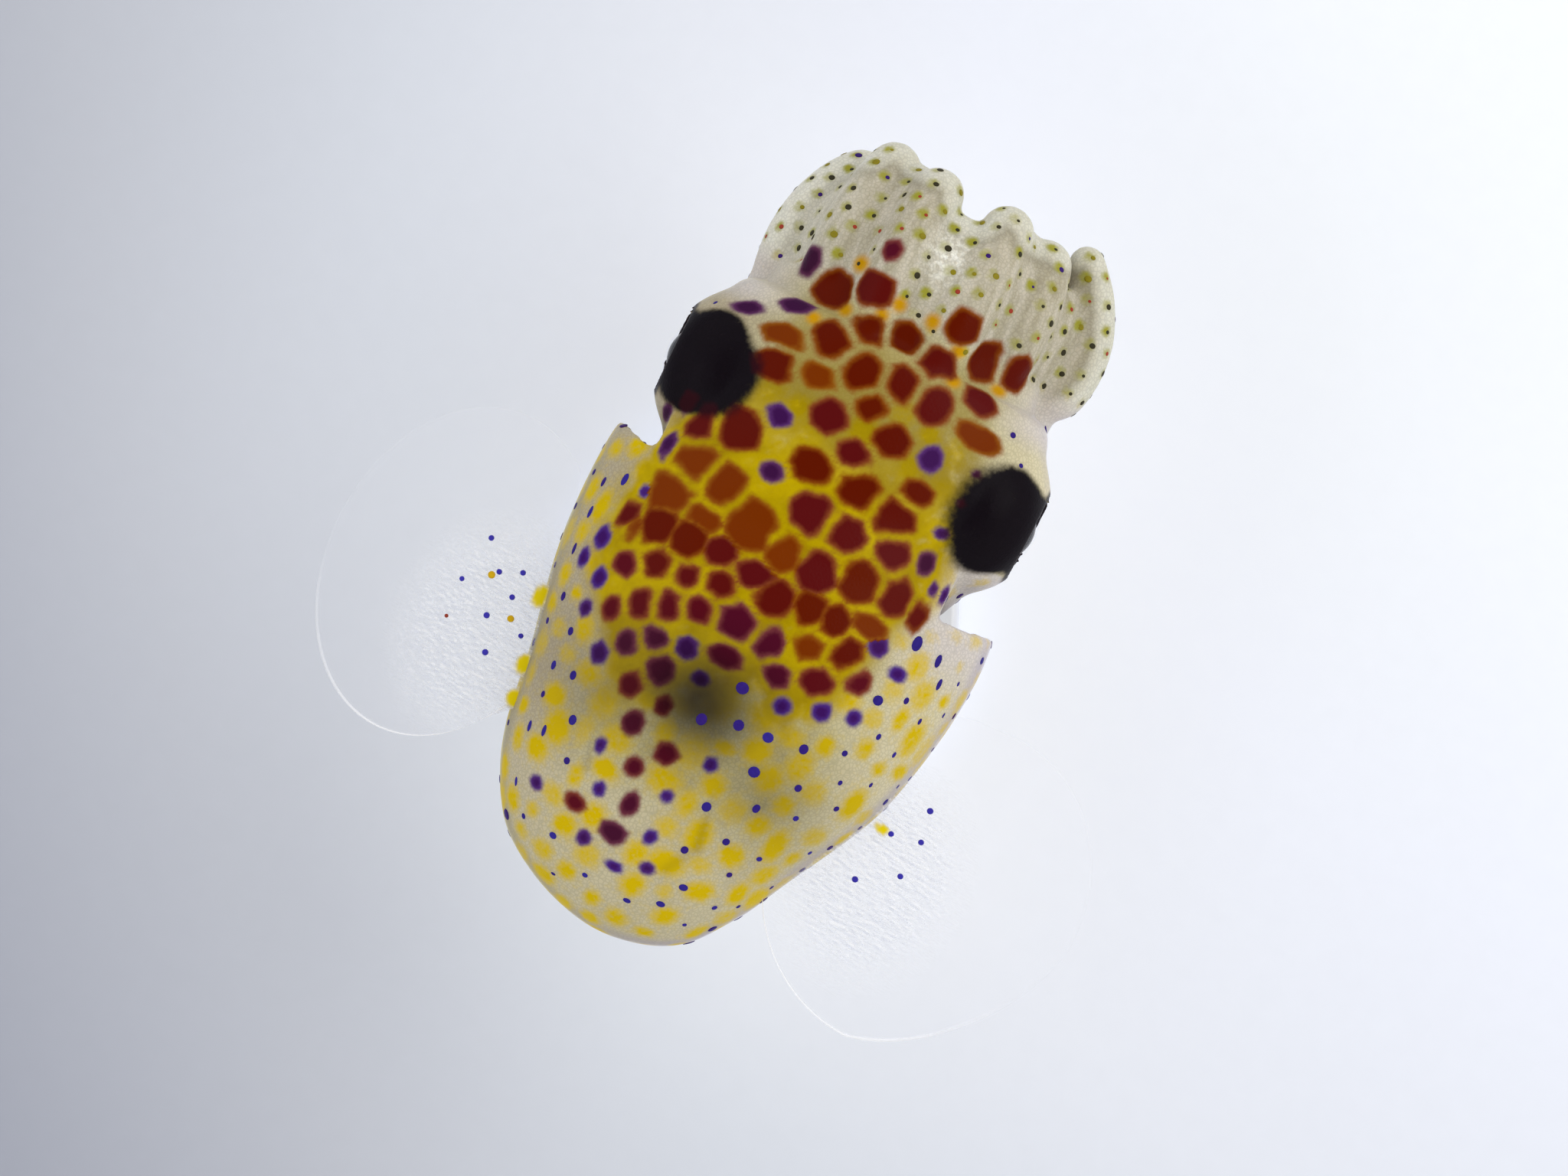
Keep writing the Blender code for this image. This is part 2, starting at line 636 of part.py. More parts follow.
def mantle_side(y, z, side):
    """Where the mantle's left (1) or right (-1) wall is, at one distance behind the neck and one height."""
    row = row_at(smooth_rows(MANTLE_ROWS, WALL_ROWS, mirror_ends=(False, True)), y)
    tall = row[2] if z > 0 else row[3]
    half_width = row[1] * (1 - min(1.0, abs(z) / tall) ** MANTLE_ROUNDNESS) ** (1 / MANTLE_ROUNDNESS)
    return side * half_width + tail_shift(y)


def fin(name, shape, side):
    """A thin round fin on the side of the mantle, thickest at its root, with a waving edge."""
    start, end = (math.radians(angle) for angle in shape["arc"])
    front, rear = shape["root"]
    top = []
    bottom = []
    for i in range(FIN_STEPS_ALONG + 1):
        share = i / FIN_STEPS_ALONG
        angle = start + (end - start) * share
        edge_x = shape["centre"][0] + side * shape["radii"][0] * math.cos(angle)
        edge = Vector((edge_x, shape["centre"][1] + shape["radii"][1] * math.sin(angle), FIN_ROOT_Z))
        root_y = front + (rear - front) * share
        root_x = mantle_side(root_y, FIN_ROOT_Z, side) + side * GAP
        root = Vector((root_x, root_y, FIN_ROOT_Z))
        line_top = []
        line_bottom = []
        for j in range(FIN_STEPS_OUT + 1):
            out = j / FIN_STEPS_OUT
            point = root.lerp(edge, out)
            wall = side * mantle_side(point.y, FIN_ROOT_Z, side) + GAP
            point.x = side * max(side * point.x, wall)
            reach = max(0.0, side * (point.x - root.x)) / FIN_REACH
            point.z += shape["lift"] * reach ** FIN_LIFT_POWER
            point.z += shape["wave"] * out * out * math.sin(FIN_WAVES * math.tau * share)
            half = (FIN_ROOT_THICKNESS + (FIN_EDGE_THICKNESS - FIN_ROOT_THICKNESS) * math.sqrt(out)) / 2
            line_top.append(point + Vector((0.0, 0.0, half)))
            line_bottom.append(point - Vector((0.0, 0.0, half)))
        top.append(line_top)
        bottom.append(line_bottom)
    return place(name, sheet_to_bmesh(top, bottom), material("fin", "DADCE6", 0.2))


def sheet_to_bmesh(top, bottom):
    """A thin closed sheet between two grids of points, split into like triangles on both faces."""
    bm = bmesh.new()
    upper = [[bm.verts.new(p) for p in line] for line in top]
    lower = [[bm.verts.new(p) for p in line] for line in bottom]
    last = len(upper) - 1
    for i in range(last):
        for j in range(len(upper[0]) - 1):
            for grid in (upper, lower):
                a, b, c, d = grid[i][j], grid[i + 1][j], grid[i + 1][j + 1], grid[i][j + 1]
                bm.faces.new((a, b, c))
                bm.faces.new((a, c, d))
        for j in (0, len(upper[0]) - 1):
            bm.faces.new((upper[i][j], upper[i + 1][j], lower[i + 1][j], lower[i][j]))
    for i in (0, last):
        for j in range(len(upper[0]) - 1):
            bm.faces.new((upper[i][j], upper[i][j + 1], lower[i][j + 1], lower[i][j]))
    bmesh.ops.triangulate(bm, faces=[f for f in bm.faces if len(f.verts) > 3])
    bmesh.ops.recalc_face_normals(bm, faces=bm.faces)
    return bm


def turned(profile, sides):
    """A closed round solid from (radius, height) pairs that run from the axis back to it."""
    rings = []
    for radius, height in profile:
        if radius == 0:
            rings.append([Vector((0.0, 0.0, height))])
        else:
            rings.append([Vector((radius * math.cos(a), radius * math.sin(a), height))
                          for a in (math.tau * i / sides for i in range(sides))])
    return rings_to_bmesh(rings)


def stand():
    """A flat round base and the rod that carries the animal by its belly."""
    finish = material("stand acrylic", "E8E8E4", 0.15)
    edge = BASE_RADIUS - BASE_BEVEL
    profile = ((0.0, 0.0), (BASE_RADIUS, 0.0), (BASE_RADIUS, BASE_THICKNESS - BASE_BEVEL),
               (edge, BASE_THICKNESS), (0.0, BASE_THICKNESS))
    place("stand_base", turned(profile, BASE_SIDES), finish, (0.0, 0.0, 0.0))
    foot = BASE_THICKNESS + GAP
    top = NECK_Z - BELLY_DEPTH - GAP
    neck = top - ROD_PAD_HEIGHT
    profile = ((0.0, foot), (ROD_RADIUS, foot), (ROD_RADIUS, neck), (ROD_PAD_RADIUS, top - ROD_PAD_RIM),
               (ROD_PAD_RADIUS, top), (0.0, top))
    place("stand_rod", turned(profile, ROD_SIDES), finish, (0.0, 0.0, 0.0))


mantle()
head()
eye("eye_left", 1)
eye("eye_right", -1)
funnel()
sucker_draw = random.Random(SUCKER_SEED)
for arm_name in ARM_PATHS:
    arm(arm_name, sucker_draw)
tentacle("tentacle_left", 1, sucker_draw)
tentacle("tentacle_right", -1, sucker_draw)
fin("fin_left", FIN_LEFT, 1)
fin("fin_right", FIN_RIGHT, -1)
stand()

for made_object in bpy.data.objects:
    made_object.data.transform(Matrix.Scale(METRES_PER_MM, 4))
    made_object.data.shade_smooth()
    made_object.data.set_sharp_from_angle(angle=SHARP_ANGLE)
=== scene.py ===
import math
import random

import bmesh
import bpy
import numpy as np
from mathutils import Matrix, Vector
from mathutils.bvhtree import BVHTree


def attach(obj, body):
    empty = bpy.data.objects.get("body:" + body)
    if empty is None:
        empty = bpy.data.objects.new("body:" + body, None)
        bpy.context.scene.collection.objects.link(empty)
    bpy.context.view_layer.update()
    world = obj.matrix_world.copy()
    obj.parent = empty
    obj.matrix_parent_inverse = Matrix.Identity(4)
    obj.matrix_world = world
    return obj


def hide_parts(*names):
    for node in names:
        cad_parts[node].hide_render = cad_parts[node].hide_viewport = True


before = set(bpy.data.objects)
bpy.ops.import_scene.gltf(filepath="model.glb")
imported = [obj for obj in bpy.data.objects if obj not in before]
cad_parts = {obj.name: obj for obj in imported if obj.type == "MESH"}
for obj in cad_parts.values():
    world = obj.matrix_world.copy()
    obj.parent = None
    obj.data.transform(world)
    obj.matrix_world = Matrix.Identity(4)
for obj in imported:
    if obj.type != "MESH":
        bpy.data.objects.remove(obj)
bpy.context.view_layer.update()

# Floor, lights and camera. The animal is looked at from straight above its back, as under a microscope,
# on a pale level floor painted brightest beyond the upper right of the picture, as painted light. Lengths are
# in mm.
METRES_PER_MM = 0.001
LEFT, BACK, UP = Vector((1.0, 0.0, 0.0)), Vector((0.0, 1.0, 0.0)), Vector((0.0, 0.0, 1.0))
FRAME_WIDTH = 6.709  # width of the picture at the height of the animal's back
FRAME_CENTRE = Vector((-0.025, -0.126, 0.0))
FOCUS_HEIGHT = 1.85
PICTURE_TURN = math.radians(27)  # the head points up and to the right
CAMERA_HEIGHT = 60.0
SENSOR_WIDTH = 36.0
FLOOR_SIZE = 90.0
# The board's colour is painted light: a painted pool of light round the bright spot, fading from near white
# to grey.
LIGHT_POOL_TONES = ("f8fbff", "f7fafe", "f1f4fc", "e7eaf1", "d5d9e0", "c1c4cb", "a7aab4")
BRIGHT_SPOT = (4.65, 2.77)  # right of and above the middle of the picture
SPOT_REACH = (1.01, 9.13)
SPOT_FLATNESS = 0.8
# The board is painted lighter round the place where the animal shades it most: painted light that hides the
# animal's shadow.
SHADE_PLACE = (-0.57, -0.16)  # where the animal shades the board most
SHADE_REACH = 4.11
PAINTED_SHADOW_LIFT = (0.98, 1.50)
SHADE_CEILING = 1.30
LIGHT_HEIGHT = 12.0
KEY_WATTS = 0.0005
FILL_WATTS = 0.0002
WORLD_STRENGTH = 1.12
DARK_ZENITH = (0.80, 0.93)  # the light comes from a ring, so that the wet back doesn't mirror a lamp


def linear(hex_text):
    """Linear colour of an sRGB hex value."""
    shares = [int(hex_text[i:i + 2], 16) / 255 for i in (0, 2, 4)]
    return (*(s / 12.92 if s <= 0.04045 else ((s + 0.055) / 1.055) ** 2.4 for s in shares), 1.0)


def fill(made, inputs):
    """Give a node's inputs a value, a hex colour or another node's output, by name or in order."""
    for key, value in inputs.items() if isinstance(inputs, dict) else enumerate(inputs):
        if isinstance(value, bpy.types.NodeSocket):
            made.id_data.links.new(value, made.inputs[key])
        else:
            hex_text = isinstance(value, str) and made.inputs[key].type == "RGBA"
            made.inputs[key].default_value = linear(value) if hex_text else value


def node(tree, kind, inputs=(), out=0, stops=(), **settings):
    """Add a node with its settings, links and the stops of its ramp, and return one of its outputs."""
    made = tree.nodes.new(kind if "Node" in kind else "ShaderNode" + kind)
    for name, value in settings.items():
        setattr(made, name, value)
    fill(made, inputs)
    for index, (at, tone, *share) in enumerate(stops):
        ramp = made.color_ramp.elements
        stop = ramp[0] if index == 0 else ramp[-1] if index == len(stops) - 1 else ramp.new(at)
        stop.color = (*linear(tone)[:3], *(share or (1.0,)))
    return made.outputs[out] if made.outputs else made


def new_material(name, inputs):
    """A material whose shader has the given values, with its tree and the object's own coordinates."""
    made = bpy.data.materials.new(name)
    made.use_nodes = True
    tree = made.node_tree
    shader = tree.nodes["Principled BSDF"]
    fill(shader, inputs)
    return made, tree, shader, node(tree, "TexCoord", (), "Object")


def add_mesh(name, verts, faces, finish=None):
    """An object with the given mesh, at the origin."""
    mesh = bpy.data.meshes.new(name)
    mesh.from_pydata([tuple(v) for v in verts], [], faces)
    mesh.validate()
    mesh.shade_smooth()
    made = bpy.data.objects.new(name, mesh)
    bpy.context.scene.collection.objects.link(made)
    if finish is not None:
        mesh.materials.append(finish)
    return made


right = Vector((-math.cos(PICTURE_TURN), -math.sin(PICTURE_TURN), 0.0))
up = Vector((math.sin(PICTURE_TURN), -math.cos(PICTURE_TURN), 0.0))
camera = bpy.data.objects.new("camera", bpy.data.cameras.new("camera"))
camera.data.sensor_width = SENSOR_WIDTH
camera.data.lens = SENSOR_WIDTH * (CAMERA_HEIGHT - FOCUS_HEIGHT) / FRAME_WIDTH
camera.data.clip_start = 0.001
camera.data.clip_end = 1.0
turn = Matrix((right, up, UP)).transposed().to_4x4()
camera.matrix_world = Matrix.Translation((FRAME_CENTRE + UP * CAMERA_HEIGHT) * METRES_PER_MM) @ turn
bpy.context.scene.collection.objects.link(camera)
bpy.context.scene.camera = camera
bpy.context.scene.view_settings.view_transform = "Standard"

# Board with painted light: an even matt coat, painted from near white to grey over 8 mm round one bright
# spot, as a painted pool of light.
board, tree, shader, place = new_material("matt board with painted light pool", {"Roughness": 0.85})
offset = node(tree, "VectorMath", (place, FRAME_CENTRE * METRES_PER_MM), operation="SUBTRACT")
across = node(tree, "VectorMath", (offset, right), "Value", operation="DOT_PRODUCT")
aways = []
for (spot_x, spot_y), flatness in ((BRIGHT_SPOT, SPOT_FLATNESS), (SHADE_PLACE, 1.0)):
    rise = node(tree, "VectorMath", (offset, up * flatness), "Value", operation="DOT_PRODUCT")
    flat = node(tree, "CombineXYZ", (across, rise))
    spot = Vector((spot_x, spot_y * flatness, 0.0)) * METRES_PER_MM
    aways.append(node(tree, "VectorMath", (flat, spot), "Value", operation="DISTANCE"))
share = node(tree, "MapRange", (aways[0], *(edge * METRES_PER_MM for edge in SPOT_REACH)))
stops = [(index / (len(LIGHT_POOL_TONES) - 1), tone) for index, tone in enumerate(LIGHT_POOL_TONES)]
tone = node(tree, "ValToRGB", (share,), stops=stops)
# Painted light: near that place the board is painted up to 1.3 times lighter, which hides the animal's
# shadow.
near = node(tree, "MapRange", (aways[1], 0.0, SHADE_REACH * METRES_PER_MM, 1.0, 0.0))
near = node(tree, "Math", (near, 2.0), operation="POWER")
painted_lift = node(tree, "MapRange", (near, 0.0, 1.0, *PAINTED_SHADOW_LIFT))
painted_lift = node(tree, "Math", (painted_lift, SHADE_CEILING), operation="MINIMUM")
grain = node(tree, "TexNoise", {"Vector": place, "Scale": 9000.0, "Detail": 3.0})
for level in (painted_lift, node(tree, "MapRange", (grain, 0.0, 1.0, 0.985, 1.015))):
    tone = node(tree, "VectorMath", {0: tone, 3: level}, operation="SCALE")
fill(shader, {"Base Color": tone})
half = FLOOR_SIZE / 2 * METRES_PER_MM
corners = [(-half, -half, 0), (half, -half, 0), (half, half, 0), (-half, half, 0)]
floor = add_mesh("floor", corners, [(0, 1, 2, 3)], board)

softboxes = (("key", right * 9 + up * 3 + UP * LIGHT_HEIGHT, 9.0, KEY_WATTS, "fffdf6"),
             ("fill", right * -10 + UP * LIGHT_HEIGHT, 10.0, FILL_WATTS, "f2f3ff"))
for name, spot, size, watts, tone in softboxes:
    lamp = bpy.data.lights.new(name, "AREA")
    lamp.size = size * METRES_PER_MM
    lamp.energy = watts
    lamp.color = linear(tone)[:3]
    softbox = bpy.data.objects.new(name, lamp)
    softbox.location = spot * METRES_PER_MM
    softbox.rotation_euler = (UP * FOCUS_HEIGHT - spot).to_track_quat("-Z", "Y").to_euler()
    bpy.context.scene.collection.objects.link(softbox)
world = bpy.data.worlds.new("studio")
world.use_nodes = True
sky = world.node_tree
height = node(sky, "SeparateXYZ", (node(sky, "TexCoord", (), "Generated"),), "Z")
ring = node(sky, "MapRange", (height, *DARK_ZENITH, 1.0, 0.12))
strength = node(sky, "Math", (ring, WORLD_STRENGTH), operation="MULTIPLY")
fill(sky.nodes["Background"], {"Color": "fafbff", "Strength": strength})
bpy.context.scene.world = world

# Skin of the whole animal: mantle, head, funnel, arms and tentacles in one. The real one is soft, wet and
# half clear, joined from head to mantle across the nape and free at the sides and below, where the funnel is.
# Each part is a loft of rings, and all are grown together into one surface of even small faces.
NECK = Vector((0.0, -0.29, 1.70))  # the middle of the mantle's edge, from which all pieces are measured
MANTLE_ROWS = (  # distance behind the neck, half width, height and depth
    (-0.02, 0.930, 0.575, 0.650), (0.12, 0.943, 0.600, 0.680), (0.33, 0.934, 0.620, 0.700),
    (0.66, 0.880, 0.615, 0.690), (0.98, 0.795, 0.575, 0.640), (1.31, 0.675, 0.490, 0.540),
    (1.51, 0.575, 0.410, 0.440), (1.67, 0.445, 0.310, 0.330), (1.78, 0.265, 0.185, 0.190),
    (1.835, 0.0, 0.0, 0.0),
)
MANTLE_EDGE, MANTLE_HALF_WIDTH, _, MANTLE_DEPTH = MANTLE_ROWS[0]
MANTLE_END = MANTLE_ROWS[-1][0]
MANTLE_ROUNDNESS = 2.15
MANTLE_WALL = 0.055
POCKET_DEPTH = 0.36
POCKET_THICKENING = 0.12
POCKET_STEPS = 12
EDGE_SKEW = 0.058
EDGE_CORNER = 0.07
EDGE_NOTCH = 0.09
EDGE_NOTCH_SHARE = 0.55
EDGE_FADE = 0.45
TAIL_BEND = 0.078
TAIL_BEND_START = 0.75
TAIL_BEND_FULL = 0.60
TAIL_RETURN_START = 0.75
TAIL_RETURN = 0.70
HEAD_ROWS = (
    (0.38, 0.0, 0.0, 0.0), (0.35, 0.240, 0.200, 0.150), (0.24, 0.480, 0.400, 0.250),
    (0.10, 0.610, 0.490, 0.310), (-0.02, 0.670, 0.508, 0.330), (-0.15, 0.725, 0.530, 0.350),
    (-0.30, 0.765, 0.540, 0.370), (-0.50, 0.790, 0.540, 0.400), (-0.70, 0.795, 0.520, 0.440),
    (-0.85, 0.770, 0.505, 0.475), (-0.945, 0.725, 0.480, 0.470), (-0.975, 0.640, 0.430, 0.430),
    (-0.980, 0.300, 0.200, 0.200), (-0.980, 0.0, 0.0, 0.0),
)
HEAD_ROUNDNESS = 2.2
EYE_BULB_CENTRE = Vector((0.635, -0.53, 0.06))
EYE_BULB_RADII = Vector((0.275, 0.36, 0.34))
EYE_CENTRE = Vector((0.655, -0.52, 0.07))
EYE_RADII = Vector((0.205, 0.255, 0.24))
EYE_SKEW = 0.02
EYE_ROOM = Vector((0.012, 0.012, 0.012))
SOCKET_STEPS = (24, 40)
LID_OPENING = (0.185, 0.160)
LID_REACH = 0.30
BULB_BLEND = 0.05
BODY_SIDES = 96
BODY_RINGS = 64
NAPE_SIDES = (-0.665, 0.735)
NAPE_STEPS = (24, 60)
NAPE_START = -0.34  # distances from the mantle's edge
NAPE_LEVEL = -0.02
NAPE_END = 0.12
NAPE_THICKNESS = 0.14
CUP_ROWS = ((-0.90, 0.60, 0.44), (-1.00, 0.64, 0.43), (-1.09, 0.62, 0.40), (-1.125, 0.56, 0.36),
            (-1.09, 0.46, 0.29), (-1.00, 0.30, 0.22), (-0.95, 0.16, 0.14), (-1.00, 0.105, 0.105),
            (-1.045, 0.09, 0.09), (-1.06, 0.05, 0.05), (-1.04, 0.0, 0.0))
FUNNEL_ROWS = ((0.12, -0.50, 0.085), (-0.10, -0.49, 0.125), (-0.30, -0.53, 0.115), (-0.47, -0.60, 0.085))
FUNNEL_RINGS = 24
FUNNEL_BORE = 0.055
FUNNEL_BORE_DEPTH = 0.16
FUNNEL_LIP = (0.012, 0.01)
ARM_PATHS = {  # where each arm leaves the head, its middle, its tip and its radius
    "arm_left_1": ((0.155, 0.33), (0.165, -1.33, 0.340), (0.155, -1.630, 0.230), 0.138),
    "arm_left_2": ((0.385, 0.15), (0.410, -1.34, 0.160), (0.370, -1.650, 0.050), 0.138),
    "arm_left_3": ((0.575, -0.13), (0.585, -1.31, -0.140), (0.480, -1.560, -0.200), 0.145),
    "arm_left_4": ((0.240, -0.31), (0.275, -1.30, -0.370), (0.215, -1.550, -0.330), 0.142),
    "arm_right_1": ((-0.155, 0.33), (-0.175, -1.32, 0.340), (-0.185, -1.620, 0.240), 0.138),
    "arm_right_2": ((-0.385, 0.15), (-0.415, -1.31, 0.160), (-0.395, -1.570, 0.080), 0.138),
    "arm_right_3": ((-0.590, -0.13), (-0.695, -1.31, -0.120), (-0.555, -1.665, -0.070), 0.145),
    "arm_right_4": ((-0.240, -0.31), (-0.320, -1.31, -0.370), (-0.360, -1.560, -0.320), 0.142),
}
ARM_ROOT_Y = -1.0
ARM_TAPER = ((0.0, 1.0), (0.3, 1.02), (0.6, 0.97), (0.85, 0.92), (1.0, 0.86))
CURLED_ARM = "arm_right_3"
CURLED_TAPER = ((0.0, 1.0), (0.2, 1.05), (0.6, 0.90), (0.85, 0.74), (1.0, 0.56))
ARM_WEBS = (("arm_left_1", "arm_left_2", 1.0), ("arm_left_2", "arm_left_3", 1.0),
            ("arm_right_1", "arm_right_2", 1.0), ("arm_right_2", "arm_right_3", 0.86),
            ("arm_left_1", "arm_right_1", 0.96))
WEB_BEYOND = 0.80  # how far a full web reaches past the arms' ends, as a share of their radius
WEB_STRETCH = 1.15
WEB_HEIGHTS = (0.72, 0.66, -0.25)  # at the arms, between them and below, as shares of the arm's radius
WEB_STEPS = 24
ARM_SIDES = 28
ARM_RINGS = 30
TIP_TURNS = [math.radians(turn) for turn in (18, 36, 54, 72)]
ROOT_SHARE = 0.35
ROOT_SINK = 0.12
TENTACLE_ROOT = (0.275, -0.03)
TENTACLE_RADIUS = 0.062
TENTACLE_LENGTH = 0.40
TENTACLE_SAG = 0.01
TENTACLE_DRAW_IN = 0.03
TENTACLE_TAPER = ((0.0, 1.0), (0.55, 0.85), (0.8, 1.15), (1.0, 0.75))
SKIN_FACE = 0.0165  # side of the small faces that the skin is made of
SETTLE_ROUNDS = 6


def curve_through(rows, count, square_ends=(False, False)):
    """Rows at even steps along a smooth curve. A square end mirrors the row next to it."""
    rows = [np.array(row, float) for row in rows]
    before = 2 * rows[0] - rows[1]
    after = 2 * rows[-1] - rows[-2]
    if square_ends[0]:
        before[0] = rows[1][0]
    if square_ends[1]:
        after[0] = rows[-2][0]
    rows = [before, *rows, after]
    lengths = [float(np.linalg.norm((b - a)[:2])) for a, b in zip(rows, rows[1:])]
    starts = np.concatenate([[0.0], np.cumsum(lengths[1:-1])])
    result = []
    for at in np.linspace(0.0, starts[-1], count):
        i = max(0, min(int(np.searchsorted(starts, at + 1e-9)) - 1, len(starts) - 2))
        b, h, t, a = rows[i:i + 4]
        near = lengths[i:i + 3]
        s = (at - starts[i]) / near[1]
        here = ((h - b) / near[0] + (t - h) / near[1]) / 2 * near[1]
        there = ((t - h) / near[1] + (a - t) / near[2]) / 2 * near[1]
        value = (2 * s ** 3 - 3 * s ** 2 + 1) * h + (s ** 3 - 2 * s ** 2 + s) * here
        result.append(value + (3 * s ** 2 - 2 * s ** 3) * t + (s ** 3 - s ** 2) * there)
    return np.array(result)


def smoothstep(low, high, value):
    """0 at low, 1 at high, and eased between them."""
    share = np.clip((value - low) / (high - low), 0.0, 1.0)
    return share * share * (3 - 2 * share)


def section(row, angles, roundness):
    """Points of a body's cross-section. Angle 0 is the left side and a quarter turn the back."""
    y, half_width, height, depth = row
    c, s = np.cos(angles), np.sin(angles)
    x = half_width * np.sign(c) * np.abs(c) ** (2 / roundness)
    z = np.where(s > 0, height, depth) * np.sign(s) * np.abs(s) ** (2 / roundness)
    return np.stack([x, np.full_like(x, y), z], axis=1)


def section_height(row, x, roundness):
    """How high the back of a cross-section is above its middle, at one distance to the side."""
    return row[2] * (1 - min(1.0, abs(x) / row[1]) ** roundness) ** (1 / roundness)


def tail_shift(y):
    """How far the middle line of the mantle has turned to the left."""
    share = (y - TAIL_BEND_START) / (MANTLE_END - TAIL_BEND_START)
    leaning = np.sin(math.pi / 2 * np.clip(share / TAIL_BEND_FULL, 0.0, 1.0)) ** 2
    returning = np.clip((share - TAIL_RETURN_START) / (1.0 - TAIL_RETURN_START), 0.0, 1.0)
    return TAIL_BEND * leaning * (1.0 - TAIL_RETURN * np.sin(math.pi / 2 * returning) ** 2)


def mantle_section(row, angles):
    """Points of one ring of the mantle, with the free edge's corners, skew and notch."""
    ring = section(row, angles, MANTLE_ROUNDNESS)
    fade = smoothstep(0.0, 1.0, 1.0 - (ring[:, 1] - MANTLE_EDGE) / EDGE_FADE)
    side = ring[:, 0] / MANTLE_HALF_WIDTH
    below = np.where(ring[:, 2] < 0, (ring[:, 2] / MANTLE_DEPTH) ** 2, 0.0)
    under = below * np.clip(1.0 - (side / EDGE_NOTCH_SHARE) ** 2, 0.0, 1.0)
    ring[:, 1] += fade * (EDGE_NOTCH * under - EDGE_CORNER * side ** 4 - EDGE_SKEW * side)
    ring[:, 0] += tail_shift(row[0])
    return ring


def row_at(rows, y):
    """The half width, height and depth at one distance behind the neck."""
    order = np.argsort(rows[:, 0])
    return np.array([y, *(np.interp(y, rows[order, 0], rows[order, i]) for i in (1, 2, 3))])


def head_section(row, angles):
    """Points of one ring of the head, swollen at both sides by the bulbs that hold the eyes."""
    ring = section(row, angles, HEAD_ROUNDNESS)
    for point in ring:
        plain = math.hypot(point[0], point[2])
        dx, dz = point[0] / plain, point[2] / plain
        side = math.copysign(1, dx)
        share = 1.0 - ((point[1] - EYE_BULB_CENTRE.y + side * EYE_SKEW) / EYE_BULB_RADII.y) ** 2
        if share <= 0:
            continue
        rx, rz = EYE_BULB_RADII.x * math.sqrt(share), EYE_BULB_RADII.z * math.sqrt(share)
        d = Vector((dx / rx, dz / rz))
        c = Vector((side * EYE_BULB_CENTRE.x / rx, EYE_BULB_CENTRE.z / rz))
        inside = d.dot(c) ** 2 - d.length_squared * (c.length_squared - 1)
        if inside <= 0:
            continue
        bulb = (d.dot(c) + math.sqrt(inside)) / d.length_squared
        spread = max(0.0, BULB_BLEND - abs(plain - bulb)) / BULB_BLEND
        reach = (max(plain, bulb) + spread * spread * BULB_BLEND / 4) / plain
        point[0] *= reach
        point[2] *= reach
    return ring


def loft(rings):
    """Verts and faces of a closed surface over rings of points, whose ends are capped."""
    verts, faces, starts = [], [], []
    for ring in rings:
        starts.append(len(verts))
        verts.extend(tuple(p) for p in ring)
    for near, far, a, b in zip(rings, rings[1:], starts, starts[1:]):
        count = max(len(near), len(far))
        for i in range(count):
            j = (i + 1) % count
            if len(near) == 1:
                faces.append((a, b + j, b + i))
            elif len(far) == 1:
                faces.append((a + i, a + j, b))
            else:
                faces.append((a + i, a + j, b + j, b + i))
    if len(rings[0]) > 1:
        faces.append(tuple(reversed(range(starts[0], starts[0] + len(rings[0])))))
    if len(rings[-1]) > 1:
        faces.append(tuple(range(starts[-1], starts[-1] + len(rings[-1]))))
    return verts, faces


def face_outwards(mesh, merging=0.0):
    """Turn a closed mesh's faces outwards, after merging points that lie closer than a distance."""
    bm = bmesh.new()
    bm.from_mesh(mesh)
    if merging:
        bmesh.ops.remove_doubles(bm, verts=bm.verts, dist=merging)
    bmesh.ops.recalc_face_normals(bm, faces=bm.faces)
    bm.to_mesh(mesh)
    bm.free()


def solid(name, rings):
    """A closed object over rings of points, with its faces turned outwards."""
    made = add_mesh(name, *loft(rings))
    face_outwards(made.data, 1e-6)
    return made


def ring_round(centre, across, upright, sides):
    """Points of an ellipse round a centre, from its two half axes."""
    angles = [math.tau * i / sides for i in range(sides)]
    return [centre + across * math.cos(a) + upright * math.sin(a) for a in angles]


def ellipsoid(centre, radii, polars, sides):
    """Rings round an ellipsoid's sideways axis, at angles from its outer end. An end is one point."""
    rings = []
    for polar in polars:
        middle = centre + LEFT * radii.x * math.cos(polar)
        wide = math.sin(polar)
        across, upright = BACK * radii.y * wide, UP * radii.z * wide
        rings.append(ring_round(middle, across, upright, sides) if wide > 1e-9 else [middle])
    return rings


def eye_centre(side):
    """The middle of the left (1) or right (-1) eye."""
    return Vector((EYE_CENTRE.x * side, EYE_CENTRE.y - EYE_SKEW * side, EYE_CENTRE.z))


def path_frame(points, share):
    """Centre, direction, and the side that faces the middle line of the crown, on a limb's path."""
    root, middle, tip = (Vector(p) for p in points)
    bend = middle * 2 - (root + tip) / 2
    centre = root * (1 - share) ** 2 + bend * (2 * share * (1 - share)) + tip * share ** 2
    along = ((bend - root) * (1 - share) + (tip - bend) * share).normalized()
    along = (-BACK).lerp(along, min(1.0, share / ROOT_SHARE)).normalized()
    inward = Vector((-centre.x, 0.0, -centre.z))
    inward = (inward - along * inward.dot(along)).normalized()
    return centre, along, inward


def limb_rings(points, radius, taper):
    """Rings of a tapering limb that starts inside the head and ends in a rounded tip."""
    rings = []
    for step in range(-1, ARM_RINGS + 1):
        centre, along, inward = path_frame(points, max(0.0, step / ARM_RINGS))
        if step < 0:
            centre = centre - along * ROOT_SINK
        wide = radius * float(np.interp(step / ARM_RINGS, *zip(*taper)))
        rings.append(ring_round(centre, inward * wide, along.cross(inward) * wide, ARM_SIDES))
    for turn in TIP_TURNS:
        out = wide * math.cos(turn)
        middle = centre + along * wide * math.sin(turn)
        rings.append(ring_round(middle, inward * out, along.cross(inward) * out, ARM_SIDES))
    return [*rings, [centre + along * wide]]


